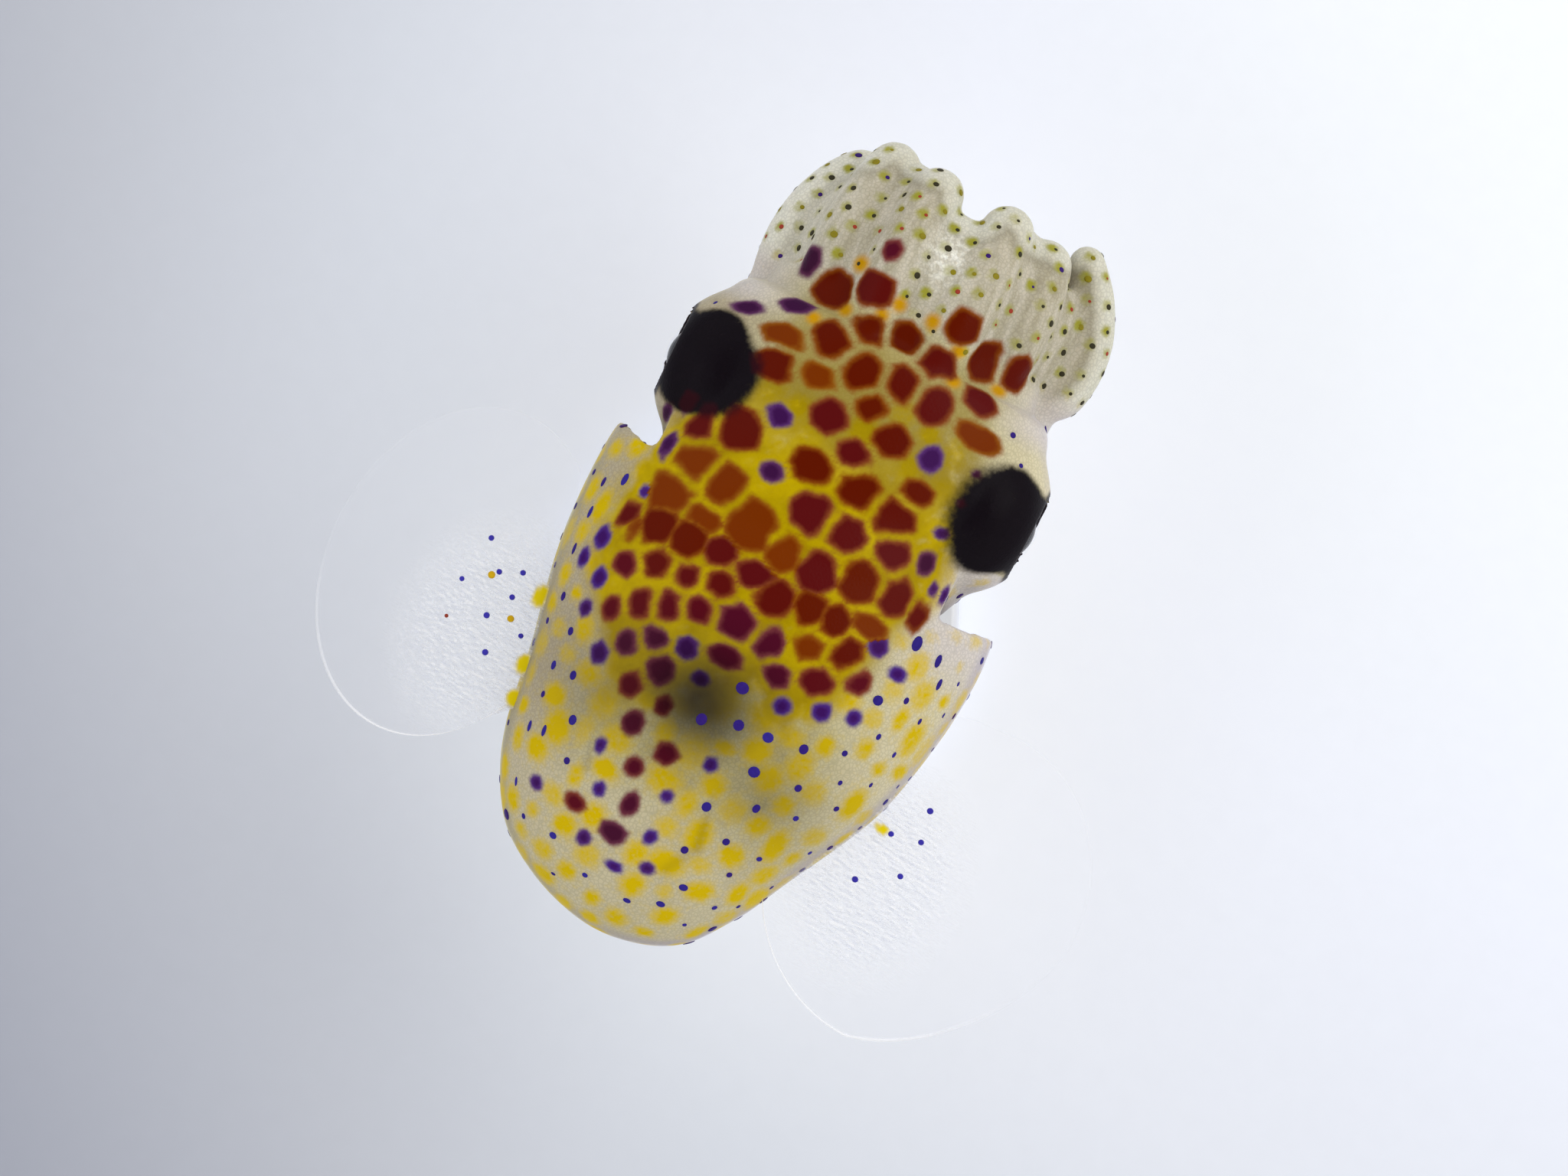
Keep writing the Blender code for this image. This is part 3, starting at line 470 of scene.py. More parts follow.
def settle(target):
    """Put the evaluated shape into the object's own mesh."""
    graph = bpy.context.evaluated_depsgraph_get()
    graph.update()
    mesh = bpy.data.meshes.new_from_object(target.evaluated_get(graph))
    target.modifiers.clear()
    target.data = mesh


ring_angles = np.arange(BODY_SIDES) * math.tau / BODY_SIDES
mantle_rows = curve_through(MANTLE_ROWS, BODY_RINGS, (False, True))
mantle_rings = [mantle_section(row, ring_angles) for row in mantle_rows[:-1]]
mantle_rings.append([(float(tail_shift(MANTLE_END)), MANTLE_END, 0.0)])
pocket = []
for step in range(POCKET_STEPS + 1):
    share = step / POCKET_STEPS
    row = row_at(mantle_rows, MANTLE_EDGE + POCKET_DEPTH * share)
    wall = MANTLE_WALL + POCKET_THICKENING * share * share
    row[1:] = (row[1:] - wall) * math.sqrt(max(0.02, 1.0 - share ** 4))
    pocket.append(mantle_section(row, ring_angles))
edge = row_at(mantle_rows, MANTLE_EDGE)
edge[0] -= MANTLE_WALL * 0.4
edge[1:] -= MANTLE_WALL / 2
parts = [solid("mantle form", [*reversed(pocket), mantle_section(edge, ring_angles), *mantle_rings])]

head_rows = curve_through(HEAD_ROWS, BODY_RINGS, (True, False))
head_rings = [head_section(row, ring_angles) for row in head_rows[1:-1]]
head = solid("head form", [[(0.0, HEAD_ROWS[0][0], 0.0)], *head_rings, [(0.0, HEAD_ROWS[-1][0], 0.0)]])
hollows = []
for side in (1, -1):
    centre = eye_centre(side)
    polars = np.linspace(0, math.pi, SOCKET_STEPS[0] + 1)
    hollows.append(solid("socket", ellipsoid(centre, EYE_RADII + EYE_ROOM, polars, SOCKET_STEPS[1])))
    bar = [ring_round(centre + LEFT * side * out, BACK * LID_OPENING[0], UP * LID_OPENING[1],
                      SOCKET_STEPS[1]) for out in (0.0, LID_REACH)]
    hollows.append(solid("lids", bar))
for hollow in hollows:
    cut = head.modifiers.new(hollow.name, "BOOLEAN")
    cut.operation = "DIFFERENCE"
    cut.object = hollow
    cut.solver = "EXACT"
settle(head)
parts.append(head)

nape = []
across_nape = np.linspace(*NAPE_SIDES, NAPE_STEPS[1])
edge_side = across_nape / MANTLE_HALF_WIDTH
edge_line = MANTLE_EDGE - EDGE_CORNER * edge_side ** 4 - EDGE_SKEW * edge_side
for offset in np.linspace(NAPE_START, NAPE_END, NAPE_STEPS[0]):
    share = float(smoothstep(NAPE_START, NAPE_LEVEL, offset))
    outer = []
    for x, y in zip(across_nape, edge_line + offset):
        on_head = section_height(row_at(head_rows, y), x, HEAD_ROUNDNESS)
        on_mantle = section_height(row_at(mantle_rows, max(y, MANTLE_EDGE)), x, MANTLE_ROUNDNESS)
        outer.append((x, y, on_head * (1 - share) + on_mantle * share))
    outer = np.array(outer)
    nape.append(np.concatenate([outer, outer[::-1] - np.array([0.0, 0.0, NAPE_THICKNESS])]))
parts.append(solid("nape form", nape))

cup = [[(x * math.cos(a), y, z * math.sin(a)) for a in ring_angles] for y, x, z in CUP_ROWS[:-1]]
parts.append(solid("arm cup form", [*cup, [(0.0, CUP_ROWS[-1][0], 0.0)]]))

arm_points = {}
for name, ((root_x, root_z), middle, tip, radius) in ARM_PATHS.items():
    arm_points[name] = ((root_x, ARM_ROOT_Y, root_z), middle, tip)
    taper = CURLED_TAPER if name == CURLED_ARM else ARM_TAPER
    parts.append(solid(name + " form", limb_rings(arm_points[name], radius, taper)))
for near, far, end in ARM_WEBS:
    web = []
    full = end == 1.0
    for step in range(WEB_STEPS + 1):
        share = end * step / WEB_STEPS
        at = min(1.0, share * WEB_STRETCH) if full else share
        (a, a_along, a_in), (b, b_along, b_in) = (path_frame(arm_points[arm], at) for arm in (near, far))
        wide = ARM_PATHS[near][3] * float(np.interp(share, *zip(*ARM_TAPER)))
        beyond = wide * WEB_BEYOND * full * max(0.0, share * WEB_STRETCH - 1.0) / (WEB_STRETCH - 1.0)
        a, b = a + a_along * beyond, b + b_along * beyond
        wide *= math.sqrt(max(0.04, 1 - (step / WEB_STEPS) ** 8))
        high, middle, low = (-wide * h for h in WEB_HEIGHTS)
        both = (a_in + b_in).normalized()
        web.append([a + a_in * high, (a + b) / 2 + both * middle, b + b_in * high,
                    b + b_in * low, (a + b) / 2 + both * low, a + a_in * low])
    parts.append(solid("arm web form", web))
tentacle_points = {}
for name, side in (("tentacle_left", 1), ("tentacle_right", -1)):
    x, z = TENTACLE_ROOT
    tentacle_points[name] = ((side * x, ARM_ROOT_Y, z),
                             (side * x, ARM_ROOT_Y - TENTACLE_LENGTH / 2, z - TENTACLE_SAG),
                             (side * (x - TENTACLE_DRAW_IN), ARM_ROOT_Y - TENTACLE_LENGTH, z))
    parts.append(solid(name + " form", limb_rings(tentacle_points[name], TENTACLE_RADIUS, TENTACLE_TAPER)))

tube = [(Vector((0.0, y, z)), wide) for y, z, wide in curve_through(FUNNEL_ROWS, FUNNEL_RINGS)]
ways = [(far - near).normalized() for (near, _), (far, _) in zip(tube, tube[1:])]
(end, end_radius), mouth = tube[-1], ways[-1]
tube += [(end + mouth * FUNNEL_LIP[0], (end_radius + FUNNEL_BORE) / 2),
         (end - mouth * FUNNEL_LIP[1], FUNNEL_BORE),
         (end - mouth * FUNNEL_BORE_DEPTH, FUNNEL_BORE * 0.8)]
tube = [ring_round(centre, LEFT * wide, along.cross(LEFT) * wide, BODY_SIDES // 3)
        for (centre, wide), along in zip(tube, [ways[0], *ways, mouth, mouth, mouth])]
parts.append(solid("funnel form", tube))

skin = parts[0]
bm = bmesh.new()
for part in parts:
    bm.from_mesh(part.data)
skin.data = bpy.data.meshes.new("skin")
bm.to_mesh(skin.data)
bm.free()
for part in parts[1:] + hollows:
    bpy.data.objects.remove(part)
skin.name = "skin"
grow = skin.modifiers.new("even faces", "REMESH")
grow.mode = "VOXEL"
grow.voxel_size = SKIN_FACE
ease = skin.modifiers.new("ease", "SMOOTH")
ease.factor = 0.5
ease.iterations = SETTLE_ROUNDS
settle(skin)

# Markings, worked out for every point of the skin. Each large pigment sac is a flat elastic bag that is drawn
# out to a many-sided patch, with a thin line of yellow between it and the next. The places are as seen from
# above, in thousandths of a millimetre to the left of the middle line and behind the neck, with half sizes.
MAROON_SACS = (
    (213, -1143, 85, 79), (-203, -1166, 74, 75), (360, -1065, 82, 79), (-347, -1084, 74, 82),
    (-498, -1101, 62, 75), (154, -983, 82, 69), (-7, -1016, 82, 69), (-174, -980, 82, 79),
    (272, -878, 90, 79), (-410, -930, 79, 52), (92, -799, 85, 82), (-82, -842, 79, 79),
    (-239, -819, 82, 90), (442, -668, 90, 69), (-10, -691, 69, 66), (134, -573, 79, 69),
    (-144, -606, 79, 74), (-39, -472, 82, 62), (-351, -449, 69, 57), (606, -295, 62, 82),
    (449, -351, 90, 90), (108, -351, 90, 69), (-124, -344, 90, 85), (-311, -311, 95, 82),
    (16, -170, 90, 85), (-157, -161, 82, 85), (-370, -177, 79, 82), (-124, 39, 85, 90), (-305, -10, 90, 90),
    (-468, -16, 69, 85), (-583, 10, 41, 69), (704, 203, 41, 74), (573, 170, 66, 90), (432, 157, 74, 79),
    (288, 147, 74, 59), (105, 174, 85, 57), (-164, 197, 74, 74), (-278, 197, 66, 79), (223, 278, 69, 66),
    (-10, 223, 85, 79), (508, 311, 69, 69), (367, 305, 62, 57), (-393, 295, 69, 74), (622, 373, 52, 59),
    (256, 406, 69, 59), (98, 377, 95, 72), (-79, 406, 62, 69), (-485, 373, 57, 56), (485, 501, 52, 66),
    (377, 455, 59, 66), (-164, 505, 66, 52), (-328, 455, 79, 62), (590, 570, 43, 56), (367, 600, 59, 56),
    (66, 534, 75, 49), (465, 672, 52, 59), (288, 711, 62, 69), (370, 826, 56, 62), (203, 845, 43, 52),
    (288, 966, 52, 59), (98, 1019, 56, 56), (197, 1133, 46, 49), (141, 1281, 43, 59), (354, 1382, 56, 41),
    (151, 1422, 66, 49),
)
ORANGE_SACS = (
    (459, -793, 98, 46), (-468, -780, 102, 49), (256, -708, 82, 52), (563, -141, 85, 90),
    (393, -108, 85, 95), (590, 16, 85, 95), (223, -10, 102, 102), (39, 26, 79, 79), (410, 56, 74, 57),
    (-426, 147, 82, 46), (672, 229, 46, 56), (-236, 337, 62, 62),
)
INDIGO_SACS = (
    (219, -1327, 49, 59), (511, -1130, 46, 74), (475, -934, 85, 36), (655, -835, 74, 33),
    (-334, -609, 59, 62), (324, -478, 69, 52), (246, -252, 62, 49), (688, -154, 36, 74),
    (-518, -203, 46, 62), (-518, -347, 37, 30), (-596, -111, 24, 50), (-649, -118, 20, 50),
    (-531, -498, 22, 20), (-536, -640, 26, 22), (694, -354, 46, 60), (760, -275, 26, 40), (688, 66, 26, 35),
    (-498, 206, 49, 52), (-622, 272, 46, 36), (763, 321, 33, 62), (796, 432, 26, 52), (695, 482, 33, 56),
    (-541, 524, 36, 41), (229, 577, 59, 59), (-406, 557, 46, 56), (688, 622, 33, 46), (115, 668, 52, 41),
    (-246, 616, 46, 46), (550, 767, 46, 59), (-88, 976, 39, 43), (367, 1114, 33, 46), (16, 1179, 36, 36),
    (288, 1284, 36, 43), (541, 1382, 39, 36), (0, 1366, 39, 46), (252, 1500, 43, 43), (-49, 1494, 43, 36),
    (82, 1550, 52, 29),
)
SAC_GROWTHS = (1.24, 1.26, 1.06)  # maroon, orange and indigo, against the sizes above
SAC_REACH = 0.42
SAC_GAP = 0.020
TAIL_SHRINKING = 0.10  # what the sacs lose towards the tail
TIGHT_BAND = (0.04, 0.22)  # where the sacs of the nape lie over each other
TIGHT_GAP = -0.030
SAC_CORNERS = (5, 6, 7)
SAC_ROUNDING = 0.32
SAC_UNEVENNESS = 0.13
SACS_SEED = 4
YELLOW_WIDTHS = (  # distance behind the neck, then how far it reaches to the left and right
    (-1.24, 0.34, 0.34), (-1.10, 0.44, 0.44), (-0.85, 0.46, 0.48), (-0.70, 0.48, 0.54), (-0.50, 0.52, 0.59),
    (-0.30, 0.72, 0.62), (-0.08, 0.80, 0.65), (0.03, 0.80, 0.59), (0.12, 0.80, 0.54), (0.33, 0.80, 0.50),
    (0.50, 0.74, 0.46), (0.66, 0.60, 0.38), (0.85, 0.45, 0.30))
YELLOW_STRENGTHS = ((-1.05, 0.0), (-0.93, 0.55), (-0.60, 0.85), (-0.30, 1.0))
YELLOW_FADE = 0.065
FRONT_SPOTS = ((0.308, -1.215, 0.034, 0.042), (0.085, -1.133, 0.038, 0.036), (-0.075, -1.133, 0.036, 0.040),
               (0.282, -1.012, 0.034, 0.034), (0.131, -1.061, 0.034, 0.032), (0.383, -0.917, 0.034, 0.030),
               (-0.226, -1.068, 0.032, 0.036), (-0.269, -0.947, 0.036, 0.030), (-0.459, -1.002, 0.040, 0.028))
EDGE_SPOTS = ((0.886, 0.668, 0.034, 0.052), (0.819, 0.959, 0.034, 0.046), (0.786, 1.108, 0.040, 0.040),
              (-0.868, 0.893, 0.034, 0.022))
EDGE_SPOT_EDGES = (0.7, 1.3)
FIN_ROOT_Z = 0.10
BLOB_SPACING = 0.138
BLOB_RADIUS = 0.096
BLOB_HALO = (1.8, 0.36)  # a faint halo: its size against the blob's, and its strength
BLOB_CLEARANCE = 0.070  # from a dot's middle to the nearest middle of a blob
GLASSY_SHRINKING = (0.40, 0.45)  # what blobs on the clear right corner lose in size and in strength
DOT_SPACING = 0.158
DOT_CLEARANCE = 0.07875  # from a large sac's edge to the nearest dot
BACK_DOTS = (
    (-61, 623, 30, 28), (-118, 771, 25, 26), (34, 820, 25, 28), (-253, 761, 26, 24), (-411, 737, 22, 24),
    (-267, 919, 28, 26), (-466, 896, 18, 18), (-346, 1054, 18, 22), (-516, 1016, 15, 14),
    (-154, 1143, 22, 24), (-296, 1239, 18, 18), (-456, 1242, 16, 13), (-154, 1350, 18, 19),
    (-373, 1360, 15, 14), (-223, 1497, 22, 18), (-381, 1516, 14, 14), (-168, 1605, 22, 16),
    (-33, 1657, 19, 13), (176, 1641, 14, 13), (374, 1552, 19, 17), (524, 1538, 13, 14), (465, 1239, 16, 17),
    (522, 1073, 20, 24), (607, 903, 18, 22), (702, 903, 16, 22), (702, 741, 17, 20), (799, 623, 17, 22),
    (813, 747, 14, 16), (686, 1034, 13, 16), (676, 1180, 12, 27), (611, 1170, 12, 27), (-672, 546, 13, 16),
    (-575, 674, 15, 15), (-767, 585, 11, 15), (-737, 745, 10, 13), (-615, 795, 12, 13), (-652, 902, 16, 14),
    (-638, 1123, 13, 12), (-800, 409, 11, 16), (-599, 409, 26, 24), (-708, 356, 14, 17),
    (-802, 231, 14, 28), (-753, 144, 17, 31), (-638, 119, 25, 36), (-875, 192, 9, 12), (-470, 1467, 12, 12),
    (-880, 340, 9, 14), (-845, 700, 9, 12), (-560, 1330, 11, 13), (860, 250, 14, 30), (868, 110, 14, 24),
    (850, 420, 13, 28), (790, 60, 17, 30), (-600, -860, 17, 14), (-690, -760, 12, 12), (790, -790, 10, 12),
    (620, 1420, 10, 22), (-300, 1640, 12, 10), (300, 1700, 13, 9),
)
INK_SHADES = (((0.06, 0.76), (0.31, 0.25), 0.96), ((0.10, 0.84), (0.62, 0.28), 0.46),
              ((-0.34, 0.98), (0.32, 0.24), 0.40), ((0.48, 0.90), (0.22, 0.24), 0.38))
INK_CEILING = 0.94
GUT_LINES = (((-0.16, 1.08), (-0.20, 1.32), 0.30), ((0.43, 1.04), (0.38, 1.22), 0.25),
             ((-0.20, 1.32), (-0.12, 1.46), 0.18))
GUT_LINE_WIDTH = 0.030
EYE_BLUR = (0.14, 0.55)  # outer and inner edge, as shares of the eye's radius
EYE_OUTWARD = 0.72  # below 1, the dark reaches further on the outer side
EYE_WAVES = {1: (1.0, (2, 0.03, 0.6), (3, 0.05, 3.3), (5, 0.03, 1.0)),
             -1: (1.05, (2, 0.03, 2.0), (3, 0.03, 0.4), (6, 0.02, 2.2))}
OLIVE_SPOT_RADIUS = 0.036
OLIVE_SPOT_OFFSET = (0.016, 0.0, 0.0)
OUTLINE_CELL = 0.02
ARM_BAND = 0.14
BRIGHT_GAP = ((-0.01, -1.41), (0.10, 0.13))
ARM_DOT_SPACING = 0.094


def spread_evenly(allowed, spacing, start):
    """Indices of points packed about one spacing apart, grown outwards from the first one."""
    nearest = np.full(count, 1e9)
    chosen = [start]
    while True:
        away = np.linalg.norm(places - places[chosen[-1]], axis=1)
        nearest = np.minimum(nearest, away / spacing)
        fits = allowed & (nearest >= 1.0)
        if not fits.any():
            return chosen
        chosen.append(int(np.argmin(np.where(fits, nearest, 1e9))))


def nearest_to(*place):
    """The point of the skin that lies nearest to a place."""
    return int(np.argmin(np.linalg.norm(places - np.array(place), axis=1)))


def spot_below(at_x, at_y, shape):
    """Where a line from straight above meets a surface, and the surface's outward line there."""
    return shape.ray_cast(Vector((at_x, at_y, 3.0)), -UP)[:2]


def soft_spots(x, y, rows, edges, beyond):
    """The strength of soft round spots at given places, less where the last value grows."""
    strength = 0.0
    for at_x, at_y, half_width, half_length in rows:
        away = np.hypot((x - at_x) / half_width, (y - at_y) / half_length) + beyond
        strength = np.maximum(strength, 1 - smoothstep(*edges, away))
    return strength


def keep(mesh, name, values):
    """Store one value for each point of a mesh."""
    mesh.attributes.new(name, "FLOAT", "POINT").data.foreach_set("value", values.astype(np.float32))


count = len(skin.data.vertices)
places, outward = np.zeros(count * 3), np.zeros(count * 3)
skin.data.vertices.foreach_get("co", places)
skin.data.vertex_normals.foreach_get("vector", outward)
places, outward = places.reshape(-1, 3), outward.reshape(-1, 3)
x, y, z = places.T
out_x, out_y, out_z = outward.T
skin_shape = BVHTree.FromObject(skin, bpy.context.evaluated_depsgraph_get())
sacs_draw = random.Random(SACS_SEED)
first = np.full(count, -1.0)
second = np.full(count, -1.0)
hue = np.zeros(count)
for tint, rows, growth in zip((0.5, 0.0, 1.0), (MAROON_SACS, ORANGE_SACS, INDIGO_SACS), SAC_GROWTHS):
    for row in rows:
        at_x, at_y, half_width, half_length = (v / 1000 for v in row)
        spot, normal = spot_below(at_x, at_y, skin_shape)
        if spot is None:
            continue
        if normal.z < 0:
            normal = -normal
        t1 = (LEFT - normal * normal.x).normalized()
        t2 = normal.cross(t1)
        grown = growth * (1 - TAIL_SHRINKING * float(smoothstep(0.45, 0.75, at_y)))
        wide = half_width * grown / max(0.45, t1.x)
        long = half_length * grown / max(0.45, t2.y)
        mean = math.sqrt(wide * long)
        near = np.nonzero(np.linalg.norm(places - np.array(spot), axis=1) < SAC_REACH)[0]
        offset = places[near] - np.array(spot)
        u, v, w = (offset @ np.array(way) / size for way, size in ((t1, wide), (t2, long), (normal, mean)))
        corners = sacs_draw.choice(SAC_CORNERS)
        step = math.tau / corners
        turn = sacs_draw.uniform(0, step)
        turns = [turn + step * (i + sacs_draw.uniform(-1, 1) * SAC_UNEVENNESS) for i in range(corners)]
        tips = [1 + sacs_draw.uniform(-1, 1) * SAC_UNEVENNESS for _ in range(corners)]
        turns, tips = np.array(turns + [turns[0] + math.tau]), np.array(tips + [tips[0]])
        angle = turns[0] + np.mod(np.arctan2(v, u) - turns[0], math.tau)
        at = np.clip(np.searchsorted(turns, angle, "right") - 1, 0, corners - 1)
        flat = tips[at] * np.sin(angle - turns[at]) + tips[at + 1] * np.sin(turns[at + 1] - angle)
        shape = tips[at] * tips[at + 1] * np.sin(turns[at + 1] - turns[at]) / flat
        shape = shape / (0.5 + 0.5 * math.cos(step / 2)) * (1 - SAC_ROUNDING) + SAC_ROUNDING
        inner = (1 - np.sqrt(u * u + v * v + w * w) / shape) * mean
        better = inner > first[near]
        second[near] = np.where(better, first[near], np.maximum(second[near], inner))
        first[near] = np.where(better, inner, first[near])
        tint_here = tint + sacs_draw.uniform(-0.08, 0.08)
        if tint == 0.5 and at_y > 0.33:
            tint_here += 0.14 if at_y < 0.6 else 0.20
        if tint == 1.0 and at_y < 0.0:
            tint_here -= 0.14 if at_y > -1.0 else 0.24
        hue[near[better]] = tint_here
band = smoothstep(TIGHT_BAND[0] - 0.05, TIGHT_BAND[0] + 0.03, y)
band = band * (1 - smoothstep(TIGHT_BAND[1] - 0.03, TIGHT_BAND[1] + 0.05, y))
gap = SAC_GAP + (TIGHT_GAP - SAC_GAP) * band
sac_depth = np.minimum(first, (first - second) / 2 - gap / 2)

# The yellow network between the sacs, and the dark eyes that show through the head.
back = smoothstep(-0.25, 0.25, out_z)
arms = smoothstep(-1.02, -1.16, y)
at_rows, to_left, to_right = zip(*YELLOW_WIDTHS)
reach = np.where(x > 0, np.interp(y, at_rows, to_left), np.interp(y, at_rows, to_right))
ends = np.interp(y, *zip(*YELLOW_STRENGTHS))
ends = ends * (1 - smoothstep(0.60, 0.86, y - 0.22 * smoothstep(-0.1, 0.5, x)))
network = ends * (1 - smoothstep(reach - YELLOW_FADE, reach + YELLOW_FADE, np.abs(x))) * back

side = np.where(x > 0, 1.0, -1.0)
ex = (np.abs(x) - EYE_CENTRE.x) / EYE_RADII.x
ex = np.where(ex > 0, ex * EYE_OUTWARD, ex)
ey = (y - (EYE_CENTRE.y - EYE_SKEW * side)) / EYE_RADII.y
turned = np.arctan2(ey, ex)
spread = {key: whole + sum(tall * np.cos(times * turned + start) for times, tall, start in waves)
          for key, (whole, *waves) in EYE_WAVES.items()}
away = np.hypot(ex, ey) / np.where(x > 0, spread[1], spread[-1])
blur = smoothstep(0.3, -0.6, ex) * (1 - smoothstep(-0.3, 0.3, x) * 0.5)
blur = EYE_BLUR[0] + (EYE_BLUR[1] - EYE_BLUR[0]) * blur
eye_shade = (1 - smoothstep(1.0 - blur, 1.0 + blur * 0.3, away)) * (np.abs(x) > 0.3)
eye_shade *= smoothstep(-0.15, 0.10, out_z)
beside = np.hypot(ey, (z - EYE_CENTRE.z) / EYE_RADII.z) + 9.0 * (np.abs(x) < EYE_CENTRE.x)
facing_out = smoothstep(0.30, 0.60, out_x * side)
eye_shade = np.maximum(eye_shade, (1 - smoothstep(0.80, 0.98, beside)) * facing_out)
above = (1 - smoothstep(0.62, 0.88, np.abs(ey))) * facing_out * (z > EYE_CENTRE.z)
eye_shade = np.maximum(eye_shade, above * (np.abs(x) > EYE_CENTRE.x))

# Small dots and blurred yellow blobs are spread over what the large sacs leave free, below as well as above.
body = (y > -0.98) & (first < -DOT_CLEARANCE) & (np.hypot(out_x, out_z) > 0.6)
body &= (out_z < 0.30) & ((y > -0.9) | (z < 0))
body &= ~((np.abs(x) > EYE_BULB_CENTRE.x - 0.12) & (y < -0.15) & (y > -0.95))
inside_pocket = np.zeros(count, bool)
for index in range(count):
    lean = Vector(outward[index])
    inside_pocket[index] = skin_shape.ray_cast(Vector(places[index]) + lean * 0.02, lean, 0.3)[0] is not None
network *= ~inside_pocket
body &= ~inside_pocket & (eye_shade < 0.05)
dots = spread_evenly(body, DOT_SPACING, nearest_to(-0.33, 1.30, -0.5))
back_dots = []
for row in BACK_DOTS:
    at_x, at_y, half_width, half_length = (v / 1000 for v in row)
    spot, normal = spot_below(at_x, at_y, skin_shape)
    if spot is not None:
        back_dots.append((spot, normal, half_width, half_length))
free_of_dots = np.full(count, 1e9)
for spot in [places[index] for index in dots] + [np.array(row[0]) for row in back_dots]:
    free_of_dots = np.minimum(free_of_dots, np.linalg.norm(places - spot, axis=1))
blob_room = ~inside_pocket & (free_of_dots > BLOB_CLEARANCE) & (first < -0.03) & (eye_shade < 0.05)
blob_room &= (y > -0.80) & ((y > -0.25) | (np.abs(x) < 0.44))
start = int(np.argmax(np.where(blob_room & (z > 0.3), -np.abs(free_of_dots - 0.085), -1e9)))
blobs = spread_evenly(blob_room, BLOB_SPACING, start)
glassy = smoothstep(0.35, 0.05, y) * smoothstep(0.45, 0.60, -x) * (y > -0.3)
blob_field = soft_spots(x, y, EDGE_SPOTS, EDGE_SPOT_EDGES, np.abs(z - FIN_ROOT_Z) / 0.06)
for index in blobs:
    size = BLOB_RADIUS * sacs_draw.uniform(0.60, 1.10) * (1 - GLASSY_SHRINKING[0] * glassy[index])
    squash = [sacs_draw.uniform(0.7, 1.3) for _ in range(3)]
    away = np.linalg.norm((places - places[index]) * squash, axis=1) / size
    strong = sacs_draw.uniform(0.60, 1.0) * (1 - GLASSY_SHRINKING[1] * glassy[index])
    blob_field = np.maximum(blob_field, (1 - smoothstep(0.25, 1.15, away)) * strong)
    blob_field = np.maximum(blob_field, (1 - smoothstep(0.2, BLOB_HALO[0], away)) * strong * BLOB_HALO[1])

on_arms = (y < -1.06) & (np.abs(out_y) < 0.9) & (first < -0.03)
on_arms &= out_x * x + out_z * z > -0.1 * np.hypot(x, z)
arm_dots = spread_evenly(on_arms, ARM_DOT_SPACING, nearest_to(0.41, -1.35, 0.3))
for index in arm_dots:
    away = np.linalg.norm(places - places[index] - np.array(OLIVE_SPOT_OFFSET), axis=1) / OLIVE_SPOT_RADIUS
    blob_field = np.maximum(blob_field, (1 - smoothstep(0.3, 1.2, away)) * sacs_draw.uniform(0.4, 1.0))

ink = np.zeros(count)
for (cx, cy), (rx, ry), strength in INK_SHADES:
    ink = np.maximum(ink, strength * np.exp(-((x - cx) / rx) ** 2 - ((y - cy) / ry) ** 2))
for (ax, ay), (bx, by), strength in GUT_LINES:
    share = ((x - ax) * (bx - ax) + (y - ay) * (by - ay)) / ((bx - ax) ** 2 + (by - ay) ** 2)
    share = np.clip(share, 0, 1)
    away = np.hypot(x - ax - share * (bx - ax), y - ay - share * (by - ay)) / GUT_LINE_WIDTH
    ink = np.maximum(ink, strength * np.exp(-away * away))
flanks = (0.25 + 0.75 * smoothstep(-0.15, 0.10, y)) * (1 - arms)
glassy = np.maximum(glassy, smoothstep(-0.80, -0.92, y) * smoothstep(0.36, 0.50, np.abs(x)))
# Where the web between the two groups of arms gets painted glints, a painted highlight.
(gap_x, gap_y), (gap_wide, gap_long) = BRIGHT_GAP
bright_gap = arms * np.exp(-((x - gap_x) / gap_wide) ** 2 - ((y - gap_y) / gap_long) ** 2)

# How far each point of the arms lies inside their outline, as seen from above.
crown = np.nonzero(y < -0.95)[0]
cells = np.floor(places[crown][:, :2] / OUTLINE_CELL).astype(int)
low = cells.min(axis=0) - 2
taken = np.zeros(cells.max(axis=0) - low + 3, bool)
taken[tuple((cells - low).T)] = True
near_taken = np.zeros_like(taken)
for step in ((1, 0), (-1, 0), (0, 1), (0, -1)):
    near_taken |= np.roll(taken, step, (0, 1))
outside = (np.argwhere(near_taken & ~taken) + low + 0.5) * OUTLINE_CELL
outside = outside[outside[:, 1] < -1.0]
within = np.full(count, 0.3)
for rows in np.array_split(crown, 20):
    away = np.linalg.norm(places[rows][:, None, :2] - outside[None], axis=2).min(axis=1)
    within[rows] = away - OUTLINE_CELL / 2

marks = {
    "sac_depth": np.clip(sac_depth, -0.2, 0.2), "sac_hue": np.clip(hue, 0, 1), "yellow_net": network,
    "yellow_blob": blob_field, "ink_shade": np.minimum(ink, INK_CEILING) * back, "eye_shade": eye_shade,
    # The rim mark is painted shade where the skin turns away from straight up; the glow mark is a thinner
    # painted glow at the outline.
    "rim": flanks * (1 - smoothstep(0.28, 0.50, np.abs(out_z))),
    "rim_glow": flanks * (1 - smoothstep(0.09, 0.22, np.abs(out_z))), "left_side": smoothstep(-0.4, 0.4, x),
    "arm_part": arms, "within": within, "bright_gap": bright_gap,
    "front_spot": soft_spots(x, y, FRONT_SPOTS, (0.4, 1.4), 9.0 * (z < -0.25)),
    "tail_part": 0.7 * smoothstep(1.0, 1.35, y), "glassy": glassy, "head_part": smoothstep(-0.35, -0.65, y),
    "open_skin": smoothstep(0.022, 0.060, -first), "flank": smoothstep(0.35, 0.75, np.abs(x)),
}
for name, values in marks.items():
    keep(skin.data, name, values)
